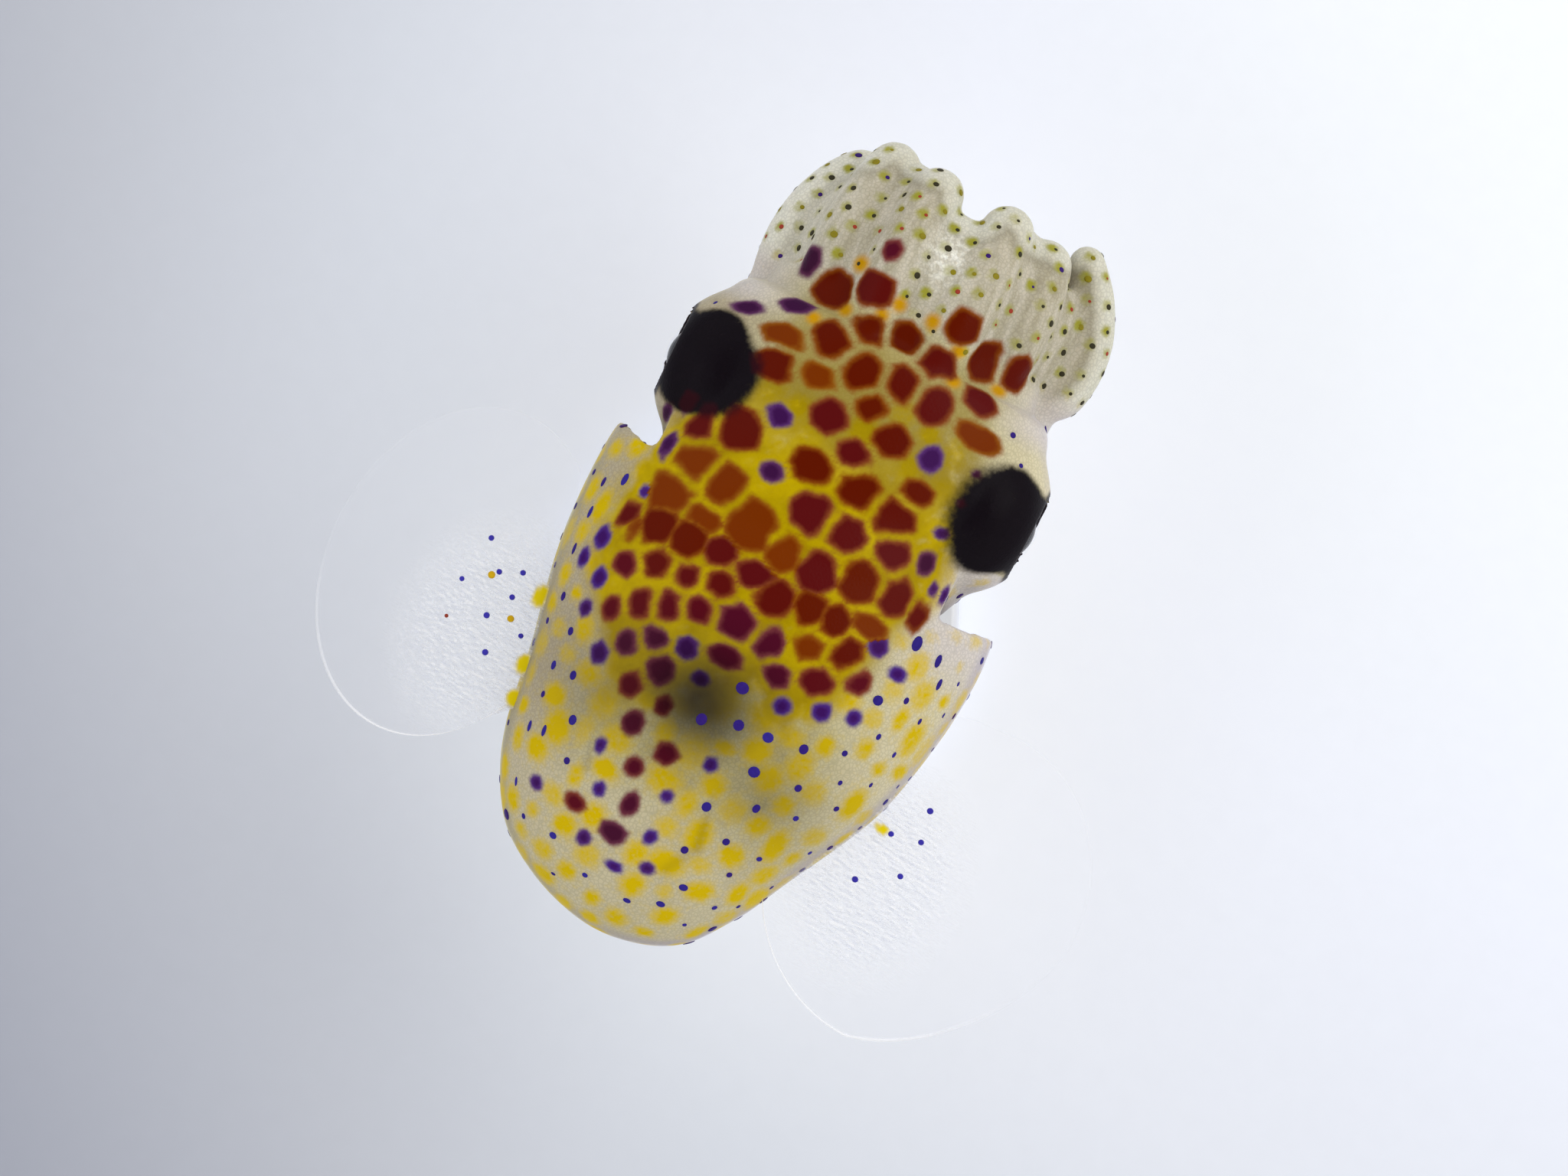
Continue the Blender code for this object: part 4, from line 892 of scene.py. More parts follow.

# Living skin: a clear jelly over milky flesh. It looks pale and even from afar and finely pebbled from near.
# Where it turns away it gets a painted dark line, painted shade, and a thin painted glow at the very outline.
# Pebbles are 0.018 mm wide.
flesh, tree, shader, place = new_material("wet clear skin with pigment sacs", {
    "Subsurface Radius": (1.0, 0.85, 0.65), "Subsurface Scale": 0.00012, "Roughness": 0.34, "IOR": 1.36,
    "Specular IOR Level": 0.06})
tones = {"data_type": "RGBA"}
mark = {name: node(tree, "Attribute", (), "Fac", attribute_name=name) for name in marks}
cloud = node(tree, "TexNoise", {"Vector": place, "Scale": 5200.0, "Detail": 4.0, "Roughness": 0.55})
cloudy = node(tree, "MapRange", (cloud, 0.35, 0.65))
fine = node(tree, "TexNoise", {"Vector": place, "Scale": 42000.0, "Detail": 2.0})
pebble = node(tree, "TexVoronoi", {"Vector": place, "Scale": 54000.0}, feature="DISTANCE_TO_EDGE")
drawn_out = node(tree, "VectorMath", (place, (1.0, 0.14, 1.0)), operation="MULTIPLY")
strands = node(tree, "TexNoise", {"Vector": drawn_out, "Scale": 26000.0, "Detail": 3.0})
strands = node(tree, "MapRange", (strands, 0.36, 0.64))
band = node(tree, "MapRange", (mark["within"], 0.0, ARM_BAND))
band = node(tree, "ValToRGB", (band,), stops=(
    (0.0, "c6c3ae"), (0.30, "d4d2c2", 0.85), (0.55, "cecbb9", 0.70), (0.78, "98927d", 0.60),
    (1.0, "9c9580", 0.0)))
# Painted light: the far left of the arms is painted paler, which lifts the shade on the outer arm's
# sideways-facing side.
far_left = node(tree, "Math", (mark["flank"], mark["left_side"]), operation="MULTIPLY")
far_left = node(tree, "Math", (far_left, 0.7), operation="MULTIPLY")
# Painted glints: the web between the two groups of arms is painted pale in speckles, as bright glints.
glints = node(tree, "MapRange", (fine, 0.42, 0.62, 0.35, 1.0))
glints = node(tree, "Math", (mark["bright_gap"], glints), operation="MULTIPLY")
grey = node(tree, "Mix", {0: strands, 6: "aca48c", 7: "c2baa6"}, 2, **tones)
for share, tone in ((band.node.outputs["Alpha"], band), (far_left, "dfdccb"), (glints, "f0eee2")):
    grey = node(tree, "Mix", {0: share, 6: grey, 7: tone}, 2, **tones)
outer = node(tree, "Mix", {0: mark["left_side"], 6: "cec4a2", 7: "b0a488"}, 2, **tones)
outer = node(tree, "Mix", {0: mark["glassy"], 6: outer, 7: "cdc5bc"}, 2, **tones)
ground = node(tree, "Mix", {0: cloudy, 6: "b0a474", 7: "c2b88c"}, 2, **tones)
for name, tone in (("flank", outer), ("tail_part", "c3b99c"), ("arm_part", grey)):
    ground = node(tree, "Mix", {0: mark[name], 6: ground, 7: tone}, 2, **tones)
pebble_line = node(tree, "MapRange", (pebble, 0.0, 0.20, 0.85, 1.03))
ground = node(tree, "VectorMath", {0: ground, 3: pebble_line}, operation="SCALE")
# Painted shade and painted light at the outline: a dark line, violet-grey on the right and olive on the left,
# and a thin pale glow, bluish on the right and yellowish on the left.
for name, most, right_tone, left_tone in (("rim", 0.55, "a097a8", "968c6c"),
                                          ("rim_glow", 0.60, "dedbe8", "e2dca8")):
    tone = node(tree, "Mix", {0: mark["left_side"], 6: right_tone, 7: left_tone}, 2, **tones)
    share = node(tree, "Math", (mark[name], most), operation="MULTIPLY")
    ground = node(tree, "Mix", {0: share, 6: ground, 7: tone}, 2, **tones)

# Yellow: soft blobs with ragged edges, and the network with bare patches where it lies open.
uneven = node(tree, "MapRange", (fine, 0.0, 1.0, -0.32, 0.32))
blob_share = node(tree, "Math", (mark["yellow_blob"], uneven), operation="ADD")
blob_share = node(tree, "MapRange", (blob_share, 0.10, 0.88))
blob_tone = node(tree, "Mix", {0: mark["arm_part"], 6: "ceb000", 7: "9a9634"}, 2, **tones)
patchy = node(tree, "TexNoise", {"Vector": place, "Scale": 7000.0, "Detail": 3.0})
patchy = node(tree, "MapRange", (patchy, 0.42, 0.58, 0.75, 0.0))
bare = node(tree, "Math", (mark["open_skin"], patchy), operation="MULTIPLY")
covered = node(tree, "Math", (1.0, bare), operation="SUBTRACT")
net_share = node(tree, "Math", (mark["yellow_net"], covered), operation="MULTIPLY")
net_tone = node(tree, "Mix", {0: cloudy, 6: "a08600", 7: "bca200"}, 2, **tones)
net_tone = node(tree, "Mix", {0: mark["head_part"], 6: net_tone, 7: "8e7806"}, 2, **tones)
for share, tone in ((blob_share, blob_tone), (net_share, net_tone), (mark["front_spot"], "c28e00"),
                    (mark["ink_shade"], "262220")):
    ground = node(tree, "Mix", {0: share, 6: ground, 7: tone}, 2, **tones)

# Sacs: a paler rim round a dense core, in hues from orange at 0 over maroon to indigo at 1.
wander = node(tree, "MapRange", (fine, 0.0, 1.0, -0.006, 0.006))
depth = node(tree, "Math", (mark["sac_depth"], wander), operation="ADD")
sac_share = node(tree, "MapRange", (depth, -0.012, 0.018), interpolation_type="SMOOTHSTEP")
core_share = node(tree, "MapRange", (depth, 0.006, 0.036), interpolation_type="SMOOTHSTEP")
hues = (0.0, 0.5, 0.66, 0.82, 1.0)
rim_tone, core_tone = (node(tree, "ValToRGB", (mark["sac_hue"],), stops=tuple(zip(hues, tints)))
                       for tints in (("8a500c", "82420a", "7e3a2c", "60304c", "4c2c80"),
                                     ("742e00", "5a1000", "54081a", "38102e", "3a0f5a")))
sac_tone = node(tree, "Mix", {0: core_share, 6: rim_tone, 7: core_tone}, 2, **tones)
inked = node(tree, "Mix", {0: mark["ink_shade"], 6: sac_tone, 7: "14080c"}, 2, **tones)
ragged = node(tree, "MapRange", (fine, 0.0, 1.0, -0.16, 0.16))
ragged = node(tree, "Math", (mark["eye_shade"], ragged), operation="ADD")
eye_share = node(tree, "MapRange", (ragged, 0.10, 0.95), interpolation_type="SMOOTHSTEP")
eye_tone = node(tree, "Mix", {0: eye_share, 6: "4a3c10", 7: "120d12"}, 2, **tones)
over_eye = node(tree, "Mix", {0: sac_share, 6: eye_tone, 7: "2a0810"}, 2, **tones)
painted = node(tree, "Mix", {0: sac_share, 6: ground, 7: inked}, 2, **tones)
painted = node(tree, "Mix", {0: eye_share, 6: painted, 7: over_eye}, 2, **tones)
clear_share = node(tree, "Math", (1.0, sac_share), operation="SUBTRACT")
glow = node(tree, "Math", (clear_share, 0.40), operation="MULTIPLY")
bump = node(tree, "Bump", {"Height": pebble, "Strength": 0.35, "Distance": 0.000003})
fill(shader, {"Base Color": painted, "Normal": bump, "Subsurface Weight": glow})


def to_frame(piece):
    """Move a piece from millimetres about the neck to its place in the frame."""
    piece.data.transform(Matrix.Translation(NECK))
    piece.data.transform(Matrix.Scale(METRES_PER_MM, 4))
    piece.data.shade_smooth()


skin.data.materials.clear()
skin.data.materials.append(flesh)
to_frame(skin)
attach(skin, "root")
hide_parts("mantle", "head", "funnel", "tentacle_left", "tentacle_right", *ARM_PATHS)

# Fins: two round flaps as thin and clear as film, thickest where they grow out of the mantle's sides. Near
# the root they are finely ridged, and a fine white painted highlight runs along part of the outer edge.
FINS = {
    "fin_left": {"side": 1, "centre": (1.262, 0.74), "radii": (0.540, 0.740), "arc": (-122, 150),
                 "root": (0.40, 1.16), "lift": 0.42, "wave": 0.035, "lean": (0.0, 0.0),
                 "grain": (1.03, 0.90)},
    "fin_right": {"side": -1, "centre": (-1.130, 1.02), "radii": (0.680, 0.735), "arc": (-112, 152),
                  "root": (0.44, 1.35), "lift": 0.10, "wave": 0.045, "lean": (0.05, 0.10),
                  "grain": (-0.93, 1.09)},
}
FIN_SINK = 0.035
FIN_THICKNESS = (0.085, 0.026)
FIN_EDGE_THINNING = (0.35, 12)
FIN_REACH = 0.95
FIN_LIFT_POWER = 1.4
FIN_WAVES = 1.5
FIN_STEPS = (150, 48)
GRAIN_FLATNESS = 0.78
GRAIN_REACH = (0.20, 0.46)  # distances from the middle of the root between which the ridges fade out


def mantle_side(y, z, side):
    """Where the mantle's left (1) or right (-1) wall is, at one distance behind the neck and one height."""
    _, half_width, height, depth = row_at(mantle_rows, y)
    tall = height if z > 0 else depth
    wide = half_width * (1 - min(1.0, abs(z) / tall) ** MANTLE_ROUNDNESS) ** (1 / MANTLE_ROUNDNESS)
    return side * wide + float(tail_shift(y))


def fin_point(shape, share, out):
    """A point of the fin's middle sheet: its share of the way round and of the way out."""
    side = shape["side"]
    start, end = (math.radians(angle) for angle in shape["arc"])
    angle = start + (end - start) * share
    leaning = 1 - shape["lean"][angle > 0] * math.sin(2 * angle) * (math.cos(angle) > 0)
    edge = Vector((shape["centre"][0] + side * shape["radii"][0] * math.cos(angle) * leaning,
                   shape["centre"][1] + shape["radii"][1] * math.sin(angle) * leaning, FIN_ROOT_Z))
    root_y = shape["root"][0] + (shape["root"][1] - shape["root"][0]) * share
    root = Vector((mantle_side(root_y, FIN_ROOT_Z, side) - side * FIN_SINK, root_y, FIN_ROOT_Z))
    point = root.lerp(edge, out)
    wall = side * mantle_side(point.y, FIN_ROOT_Z, side) - FIN_SINK
    point.x = side * max(side * point.x, wall)
    reach = max(0.0, side * (point.x - root.x)) / FIN_REACH
    point.z += shape["lift"] * reach ** FIN_LIFT_POWER
    point.z += shape["wave"] * out * out * math.sin(FIN_WAVES * math.tau * share)
    return point


# Clear fin film: like thin wet gelatine. Light goes through it. Its ridges get painted light and shade, white
# on one side and grey on the other, and a white painted highlight runs along part of its rim. The ridges are
# 0.016 by 0.041 mm and fade out a third of the way from the root.
film, tree, shader, place = new_material("clear fin film", {"Roughness": 0.25, "IOR": 1.35})
from_edge, around, near_root, yellow = (
    node(tree, "Attribute", (), "Fac", attribute_name=name)
    for name in ("from_edge", "around", "grain", "yellow_spot"))
drawn_out = node(tree, "VectorMath", (place, (0.38, 1.0, 1.0)), operation="MULTIPLY")
beside = node(tree, "VectorMath", (drawn_out, (0.0000006, 0.0000026, 0.0)), operation="ADD")
ridges, beside = (node(tree, "TexVoronoi", {"Vector": at, "Scale": 64000.0}, feature="SMOOTH_F1")
                  for at in (drawn_out, beside))
# Painted light and shade of the ridges: the film is painted white where a ridge rises to one side and grey
# where it falls.
slope = node(tree, "Math", (ridges, beside), operation="SUBTRACT")
painted_ridge_light = node(tree, "MapRange", (slope, -0.10, 0.10))
steep = node(tree, "Math", (slope,), operation="ABSOLUTE")
steep = node(tree, "MapRange", (steep, 0.0, 0.10))
# Painted highlight: a thin white line along the fin's outer edge, faint for the first half of the way round
# and full past three quarters.
edge_highlight = node(tree, "MapRange", (from_edge, 0.018, 0.010))
behind = node(tree, "MapRange", (around, 0.50, 0.74, 0.06))
edge_highlight = node(tree, "Math", (edge_highlight, behind), operation="MULTIPLY")
tone = node(tree, "Mix", {0: painted_ridge_light, 6: "d2d6e2", 7: "ffffff"}, 2, **tones)
tone = node(tree, "Mix", {0: near_root, 6: "f4f6fc", 7: tone}, 2, **tones)
for share, above in ((edge_highlight, "ffffff"), (yellow, "e8d000")):
    tone = node(tree, "Mix", {0: share, 6: tone, 7: above}, 2, **tones)
seen = node(tree, "MapRange", (steep, 0.0, 1.0, 0.08, 0.34))
seen = node(tree, "Math", (near_root, seen), operation="MULTIPLY")
clear = node(tree, "Math", (seen, 0.02), operation="ADD")
for share, most in ((edge_highlight, 0.38), (yellow, 0.95)):
    more = node(tree, "Math", (share, most), operation="MULTIPLY")
    clear = node(tree, "Math", (clear, more), operation="ADD", use_clamp=True)
bump = node(tree, "Bump", {"Height": ridges, "Strength": 0.4, "Distance": 0.000002})
fill(shader, {"Base Color": tone, "Alpha": clear, "Normal": bump})
fin_shapes = {}
for name, shape in FINS.items():
    along_steps, out_steps = FIN_STEPS
    top, bottom, facts = [], [], []
    for i in range(along_steps + 1):
        line = [fin_point(shape, i / along_steps, j / out_steps) for j in range(out_steps + 1)]
        for j, point in enumerate(line):
            share = j / out_steps
            half = (FIN_THICKNESS[0] + (FIN_THICKNESS[1] - FIN_THICKNESS[0]) * math.sqrt(share)) / 2
            thinnest, power = FIN_EDGE_THINNING
            half *= thinnest + (1 - thinnest) * math.sqrt(max(0.0, 1 - share ** power))
            top.append(point + UP * half)
            bottom.append(point - UP * half)
            away = math.hypot(point.x - shape["grain"][0], (point.y - shape["grain"][1]) * GRAIN_FLATNESS)
            facts.append(((line[-1] - point).length, 1 - smoothstep(*GRAIN_REACH, away), i / along_steps,
                          soft_spots(point.x, point.y, EDGE_SPOTS, EDGE_SPOT_EDGES, 0.0)))
    wide = out_steps + 1
    size = len(top)
    faces = []
    for i in range(along_steps):
        for j in range(out_steps):
            a, b, c, d = i * wide + j, (i + 1) * wide + j, (i + 1) * wide + j + 1, i * wide + j + 1
            faces += [(a, b, c, d), (a + size, d + size, c + size, b + size)]
        for j in (0, out_steps):
            a, b = i * wide + j, (i + 1) * wide + j
            faces.append((a, a + size, b + size, b))
    for i in (0, along_steps):
        for j in range(out_steps):
            a, b = i * wide + j, i * wide + j + 1
            faces.append((a, b, b + size, a + size))
    fin = add_mesh(name + "_film", top + bottom, faces, film)
    for label, values in zip(("from_edge", "grain", "around", "yellow_spot"), zip(*(facts + facts))):
        keep(fin.data, label, np.array(values))
    face_outwards(fin.data)
    fin_shapes[name] = BVHTree.FromObject(fin, bpy.context.evaluated_depsgraph_get())
    to_frame(fin)
    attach(fin, "root")
    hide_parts(name)

# Small pigment sacs: flat dark beads that lie in the skin of the mantle, fins, head and arms, each drawn in
# to a dot. They are set by a tree that stands one bead on every chosen point and turns it to the surface.
DOT_RADIUS = 0.028
DOT_VARIATION = 0.20
FLANK_SHRINKING = 0.40  # what the dots lose towards the flanks
DOT_HEIGHT = 0.16
DOT_SIDES = 12
ARM_DOT_RADIUS = 0.0135
ARM_DOT_TINTS = (0.45, 0.45, 0.45, 0.45, 0.8, 0.3, 0.12, 0.12)
FIN_DOT_RADIUS = 0.0128
FIN_SPOTS = {  # place, size and tint
    "fin_left": ((1.186, 0.541, 1.0, 0.9), (0.999, 0.613, 1.0, 0.9), (1.091, 0.655, 1.0, 0.9),
                 (0.993, 0.727, 1.0, 0.9), (1.219, 0.753, 0.9, 1.0), (1.055, 0.845, 1.1, 0.9),
                 (0.885, 0.858, 0.9, 0.9), (0.989, 0.989, 1.1, 0.95), (1.206, 0.924, 0.7, 0.3),
                 (1.114, 0.681, 1.3, 0.0), (0.957, 0.812, 1.2, 0.0)),
    "fin_right": ((-1.016, 0.731, 1.1, 0.9), (-1.042, 0.868, 1.0, 0.9), (-0.911, 0.894, 1.0, 0.95),
                  (-1.029, 1.038, 1.0, 0.9), (-0.862, 1.137, 1.1, 0.9)),
}
DOTS_SEED = 9
GOLDEN_ANGLE = 2.399963


def standing_tree(name):
    """A tree that stands a copy of a form on each point, along its outward line, and names its finish."""
    made = bpy.data.node_groups.new(name, "GeometryNodeTree")
    for label, kind in (("Points", "Geometry"), ("Form", "Object"), ("Overall size", "Float"),
                        ("Finish", "Material")):
        made.interface.new_socket(label, in_out="INPUT", socket_type="NodeSocket" + kind)
    made.interface.new_socket("Pieces", in_out="OUTPUT", socket_type="NodeSocketGeometry")
    given = node(made, "NodeGroupInput").node.outputs
    form = node(made, "GeometryNodeObjectInfo", {"Object": given["Form"]}, "Geometry")
    lean, ahead, size = (
        node(made, "GeometryNodeInputNamedAttribute", {"Name": label}, data_type="FLOAT_VECTOR")
        for label in ("outward", "ahead", "size"))
    stood_up = node(made, "FunctionNodeAlignEulerToVector", {"Vector": lean}, axis="Z")
    turned = node(made, "FunctionNodeAlignEulerToVector", {"Rotation": stood_up, "Vector": ahead},
                  axis="X", pivot_axis="Z")
    scale = node(made, "VectorMath", {0: size, 3: given["Overall size"]}, operation="SCALE")
    stood = node(made, "GeometryNodeInstanceOnPoints", {"Points": given["Points"], "Instance": form,
                                                        "Rotation": turned, "Scale": scale})
    real = node(made, "GeometryNodeRealizeInstances", (stood,))
    dressed = node(made, "GeometryNodeSetMaterial", {"Geometry": real, "Material": given["Finish"]})
    node(made, "NodeGroupOutput", (dressed,))
    return made


def bake_patches(mesh, form_count):
    """Give every copy its own small patch of the map that colours are baked to."""
    total = len(mesh.vertices) // form_count
    columns = math.ceil(math.sqrt(total))
    corner = np.zeros(len(mesh.loops), np.int64)
    mesh.loops.foreach_get("vertex_index", corner)
    copy = corner // form_count
    turn = (corner % form_count) * GOLDEN_ANGLE
    u = (copy % columns + 0.5 + 0.3 * np.cos(turn)) / columns
    v = (copy // columns + 0.5 + 0.3 * np.sin(turn)) / columns
    layer = mesh.uv_layers.new(name="OFBake")
    layer.data.foreach_set("uv", np.stack([u, v], axis=1).astype(np.float32).ravel())


def stand_pieces(name, points, form, finish, tree):
    """One mesh of copies of a form on points given as (place, outward, ahead, size, tint)."""
    made = add_mesh(name, [p[0] for p in points], [])
    for label, column in (("outward", 1), ("ahead", 2), ("size", 3)):
        values = np.array([tuple(p[column]) for p in points], np.float32).ravel()
        made.data.attributes.new(label, "FLOAT_VECTOR", "POINT").data.foreach_set("vector", values)
    keep(made.data, "tint", np.array([p[4] for p in points]))
    step = made.modifiers.new("stand", "NODES")
    step.node_group = tree
    sockets = {item.name: item.identifier for item in tree.interface.items_tree if item.in_out == "INPUT"}
    step[sockets["Form"]] = form
    step[sockets["Overall size"]] = 1.0
    step[sockets["Finish"]] = finish
    settle(made)
    form_count = len(form.data.vertices)
    bpy.data.objects.remove(form)
    bake_patches(made.data, form_count)
    to_frame(made)
    return made


def turned_form(name, profile, sides):
    """A round closed form from (radius, height) pairs that start and end on its own axis."""
    turns = [math.tau * i / sides for i in range(sides)]
    rings = [[(r * math.cos(turn), r * math.sin(turn), h) for turn in turns] if r > 0 else [(0.0, 0.0, h)]
             for r, h in profile]
    return solid(name, rings)


dots_draw = random.Random(DOTS_SEED)
beads = []
for index in dots:
    place, lean = Vector(places[index]), Vector(outward[index])
    size = DOT_RADIUS * (1 + dots_draw.uniform(-1, 1) * DOT_VARIATION)
    size *= 1.0 - FLANK_SHRINKING * smoothstep(0.3, 0.85, abs(place.x))
    stretch = dots_draw.uniform(1.0, 1.3)
    beads.append((place, lean, BACK - lean * lean.y, (size, size * stretch, size),
                  dots_draw.uniform(0.72, 0.90)))
for spot, lean, half_width, half_length in back_dots:
    beads.append((spot, lean, BACK - lean * lean.y, (half_length, half_width, half_width * 0.6),
                  dots_draw.uniform(0.84, 0.93)))
for index in arm_dots:
    place, lean = Vector(places[index]), Vector(outward[index])
    size = ARM_DOT_RADIUS * dots_draw.uniform(0.5, 1.2)
    tint = dots_draw.choice(ARM_DOT_TINTS)
    if tint == 0.3:
        size *= 0.7
    beads.append((place, lean, BACK - lean * lean.y, (size, size * 1.15, size), tint))
for name, spots in FIN_SPOTS.items():
    for at_x, at_y, size, tint in spots:
        spot, lean = spot_below(at_x, at_y, fin_shapes[name])
        if spot is not None:
            wide = size * FIN_DOT_RADIUS
            beads.append((spot, lean, BACK, (wide, wide * 1.05, wide * 0.5), min(1.0, tint * 1.1)))
bead = turned_form("bead form", ((0.0, -0.25), (0.8, -0.25), (1.0, -0.05), (0.85, DOT_HEIGHT * 0.6),
                                 (0.45, DOT_HEIGHT * 0.95), (0.0, DOT_HEIGHT)), DOT_SIDES)

# Pigment in a drawn-in sac is so dense that it looks nearly black, with a blue or brown edge.
pigment, tree, shader, place = new_material("drawn-in pigment sacs", {
    "Roughness": 0.45, "Specular IOR Level": 0.08})
tint = node(tree, "Attribute", (), "Fac", attribute_name="tint")
tone = node(tree, "ValToRGB", (tint,), stops=(
    (0.0, "c8a010"), (0.12, "857a1c"), (0.3, "9a3a2a"), (0.45, "33301f"), (0.6, "4a0c22"),
    (0.88, "2a1c76"), (1.0, "3a34a4")))
cloud = node(tree, "TexNoise", {"Vector": place, "Scale": 60000.0})
level = node(tree, "MapRange", (cloud, 0.0, 1.0, 0.75, 1.25))
fill(shader, {"Base Color": node(tree, "VectorMath", {0: tone, 3: level}, operation="SCALE")})
stand_tree = standing_tree("stand forms on the skin")
dots_piece = stand_pieces("small_pigment_sacs", beads, bead, pigment, stand_tree)
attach(dots_piece, "root")

# Suckers: soft cups on short necks, in two staggered rows along the side of each arm that faces the mouth,
# and smaller ones on the clubs of the tentacles. Each has a raised rim round a shallow hollow.
SUCKER_RADIUS = 0.040
SUCKER_TIP_SHARE = 0.40
SUCKER_PITCH = 1.18
SUCKER_START = 0.05
SUCKER_ROW_ANGLE = math.radians(33)
SUCKER_VARIATION = 0.08
SUCKER_SIDES = 10
SUCKER_PROFILE = ((0.55, -0.7), (0.52, 0.10), (0.92, 0.50), (1.00, 0.68), (0.80, 0.80), (0.60, 0.48),
                  (0.0, 0.38))
CLUB_SUCKER_RADIUS = 0.019
CLUB_START = 0.58
SUCKERS_SEED = 11
suckers_draw = random.Random(SUCKERS_SEED)
cups = []
limbs = [(arm_points[name], ARM_PATHS[name][3], ARM_TAPER, SUCKER_RADIUS, SUCKER_START)
         for name in ARM_PATHS]
limbs += [(points, TENTACLE_RADIUS, TENTACLE_TAPER, CLUB_SUCKER_RADIUS, CLUB_START)
          for points in tentacle_points.values()]
for points, radius, taper, size, start in limbs:
    length = sum((Vector(b) - Vector(a)).length for a, b in zip(points, points[1:]))
    share, row = start, 1
    while share < 1.0:
        centre, along, inward = path_frame(points, share)
        turn = row * SUCKER_ROW_ANGLE
        lean = inward * math.cos(turn) + along.cross(inward) * math.sin(turn)
        wide = size * (1 - (1 - SUCKER_TIP_SHARE) * share)
        wide *= 1 + suckers_draw.uniform(-1, 1) * SUCKER_VARIATION
        deep = radius * float(np.interp(share, *zip(*taper)))
        cups.append((centre + lean * deep, lean, along, (wide, wide, wide), 0.0))
        share += SUCKER_PITCH * wide / length
        row = -row
cup_form = turned_form("sucker form", SUCKER_PROFILE, SUCKER_SIDES)

# Sucker flesh: clear and milky, a little paler than the arm.
cup_skin, tree, shader, place = new_material("milky sucker flesh", {"Roughness": 0.35, "IOR": 1.36})
cloud = node(tree, "TexNoise", {"Vector": place, "Scale": 30000.0, "Detail": 3.0})
fill(shader, {"Base Color": node(tree, "Mix", {0: cloud, 6: "b9ae9a", 7: "e2ddd0"}, 2, **tones)})
cups_piece = stand_pieces("suckers", cups, cup_form, cup_skin, stand_tree)
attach(cups_piece, "root")

# Eyes: dark balls that fill the bulbs at the sides of the head. A thin green-gold iris shows between the
# lids, round a wide black pupil, behind a clear outer skin.
PUPIL_SHARE = 0.42
IRIS_SHARE = 0.70
EYE_STEPS = (72, 48)
LENS_RISE = 0.02
CORNEA_RADII = Vector((0.235, 0.245, 0.225))
CORNEA_START = 0.72
CORNEA_STEPS = (48, 16)
eye_finish, tree, shader, place = new_material("dark eye with a green-gold iris", {
    "Roughness": 0.18, "Specular IOR Level": 0.25})
from_pupil = node(tree, "Attribute", (), "Fac", attribute_name="from_pupil")
streaks = node(tree, "TexNoise", {"Vector": place, "Scale": 40000.0, "Detail": 3.0})
shifted = node(tree, "Math", (streaks, 0.12), operation="MULTIPLY")
shifted = node(tree, "Math", (from_pupil, shifted), operation="ADD")
fill(shader, {"Base Color": node(tree, "ValToRGB", (shifted,), stops=(
    (0.0, "040305"), (PUPIL_SHARE, "050407"), (PUPIL_SHARE + 0.05, "4a4a22"), (0.58, "6c7440"),
    (IRIS_SHARE, "2c3038"), (IRIS_SHARE + 0.08, "1a1220"), (1.0, "140e16")))})

# Clear outer skin of the eye: nearly unseen but for its wet shine and a faint bluish mist.
cornea_finish, tree, shader, place = new_material("clear outer skin of the eye", {
    "Roughness": 0.06, "IOR": 1.37, "Specular IOR Level": 0.30})
mist = node(tree, "TexNoise", {"Vector": place, "Scale": 9000.0, "Detail": 3.0})
fill(shader, {"Base Color": node(tree, "Mix", {0: mist, 6: "cfd2e6", 7: "e9eaf4"}, 2, **tones),
              "Alpha": node(tree, "MapRange", (mist, 0.0, 1.0, 0.010, 0.028))})


def eye_ring(side, radii, polar, rise, sides):
    """A ring on an ellipsoid about the eye's middle, or its pole, at an angle from the outward line."""
    along = side * (math.cos(polar) * radii.x + rise)
    wide = math.sin(polar)
    return [eye_centre(side) + Vector((along, wide * radii.y * math.cos(math.tau * a / sides),
                                       wide * radii.z * math.sin(math.tau * a / sides)))
            for a in range(sides)]


for name, side in (("left", 1), ("right", -1)):
    rings, facts = [], []
    around, steps = EYE_STEPS
    for i in range(steps + 1):
        polar = math.pi * i / steps
        rise = LENS_RISE * max(0.0, 1 - (math.sin(polar) / PUPIL_SHARE) ** 2) * (math.cos(polar) > 0)
        rings.append(eye_ring(side, EYE_RADII, polar, rise, around if 0 < i < steps else 1))
        facts += [min(1.0, polar / (math.pi / 2))] * len(rings[-1])
    eye = add_mesh("eyeball_" + name, *loft(rings), eye_finish)
    keep(eye.data, "from_pupil", np.array(facts))
    around, steps = CORNEA_STEPS
    cap = [eye_ring(side, CORNEA_RADII, math.acos(CORNEA_START) * (1 - i / steps), 0.0,
                    around if i < steps else 1) for i in range(steps + 1)]
    cornea = add_mesh("clear_eye_skin_" + name, *loft(cap), cornea_finish)
    for piece in (eye, cornea):
        face_outwards(piece.data)
        to_frame(piece)
        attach(piece, "root")
    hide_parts("eye_" + name)

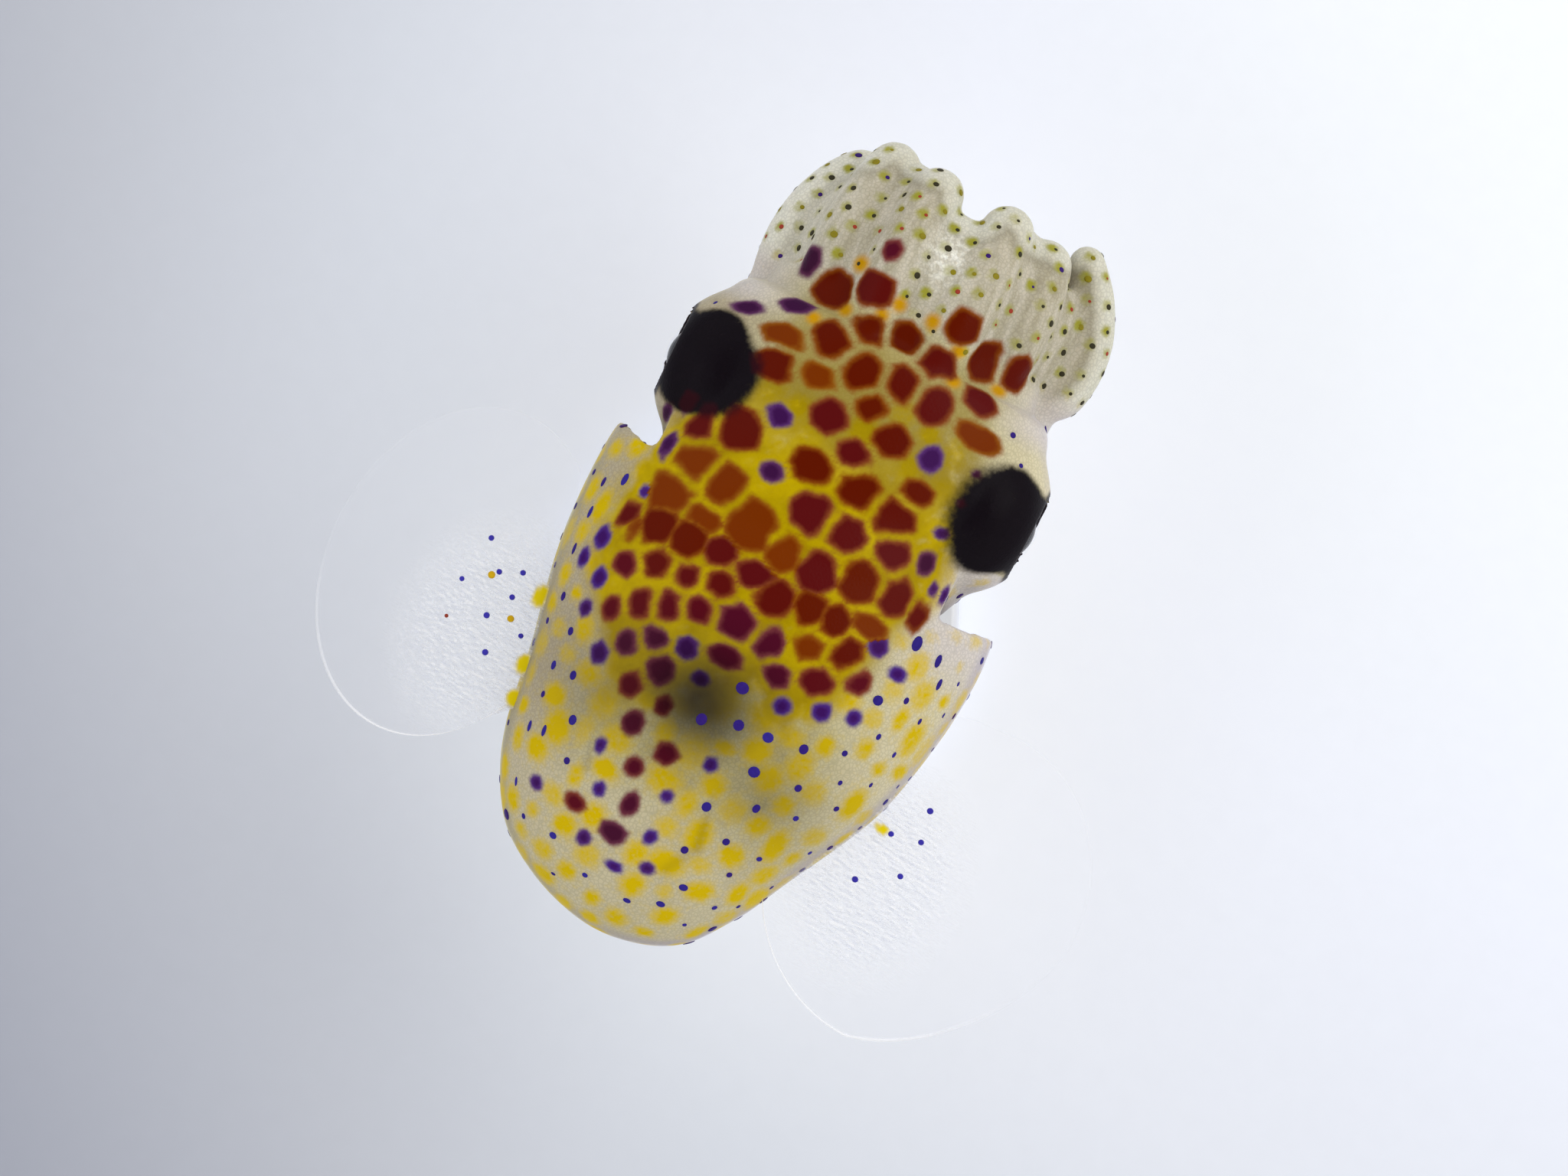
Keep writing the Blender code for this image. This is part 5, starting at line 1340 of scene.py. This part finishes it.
# Display stand: a flat round base and a rod with a small cupped pad, turned from white acrylic and polished.
# The rod is glued into the base, and the pad to the belly.
BASE_RADIUS = 0.85
BASE_THICKNESS = 0.28
BASE_BEVEL = 0.04
BASE_FOOT = 0.015
ROD_RADIUS = 0.07
PAD_RADIUS = 0.15
PAD_HEIGHT = 0.07
ROD_TOP = 0.985
EDGE_ANGLE = math.radians(35)
acrylic, tree, shader, place = new_material("polished white acrylic", {"IOR": 1.49})
cloud = node(tree, "TexNoise", {"Vector": place, "Scale": 4000.0, "Detail": 3.0})
wipes = node(tree, "TexNoise", {"Vector": place, "Scale": 90000.0, "Detail": 2.0})
fill(shader, {"Base Color": node(tree, "Mix", {0: cloud, 6: "d9dce4", 7: "eceef4"}, 2, **tones),
              "Roughness": node(tree, "MapRange", (wipes, 0.0, 1.0, 0.10, 0.22))})


def turned_piece(name, profile, sides):
    """A piece turned on a lathe from (radius, height) pairs in mm."""
    made = turned_form(name, profile, sides)
    made.data.materials.append(acrylic)
    made.data.transform(Matrix.Scale(METRES_PER_MM, 4))
    made.data.shade_smooth()
    made.data.set_sharp_from_angle(angle=EDGE_ANGLE)
    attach(made, "root")
    return made


bevel = [(BASE_RADIUS - BASE_BEVEL + BASE_BEVEL * math.cos(math.radians(angle)),
          BASE_THICKNESS - BASE_BEVEL + BASE_BEVEL * math.sin(math.radians(angle)))
         for angle in range(0, 91, 15)]
base = turned_piece("display_base", [(0.0, 0.0), (BASE_RADIUS - BASE_FOOT, 0.0), (BASE_RADIUS, BASE_FOOT),
                                     *bevel, (0.0, BASE_THICKNESS)], 160)
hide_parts("stand_base")
rod = turned_piece("display_rod", [
    (0.0, BASE_THICKNESS - 0.02), (ROD_RADIUS * 1.35, BASE_THICKNESS - 0.02),
    (ROD_RADIUS * 1.2, BASE_THICKNESS + 0.02), (ROD_RADIUS, BASE_THICKNESS + 0.06),
    (ROD_RADIUS, ROD_TOP - PAD_HEIGHT - 0.03), (ROD_RADIUS * 1.25, ROD_TOP - PAD_HEIGHT),
    (PAD_RADIUS - 0.02, ROD_TOP - 0.035), (PAD_RADIUS, ROD_TOP - 0.012), (PAD_RADIUS - 0.006, ROD_TOP),
    (PAD_RADIUS * 0.6, ROD_TOP - 0.008), (0.0, ROD_TOP - 0.012)], 64)
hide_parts("stand_rod")
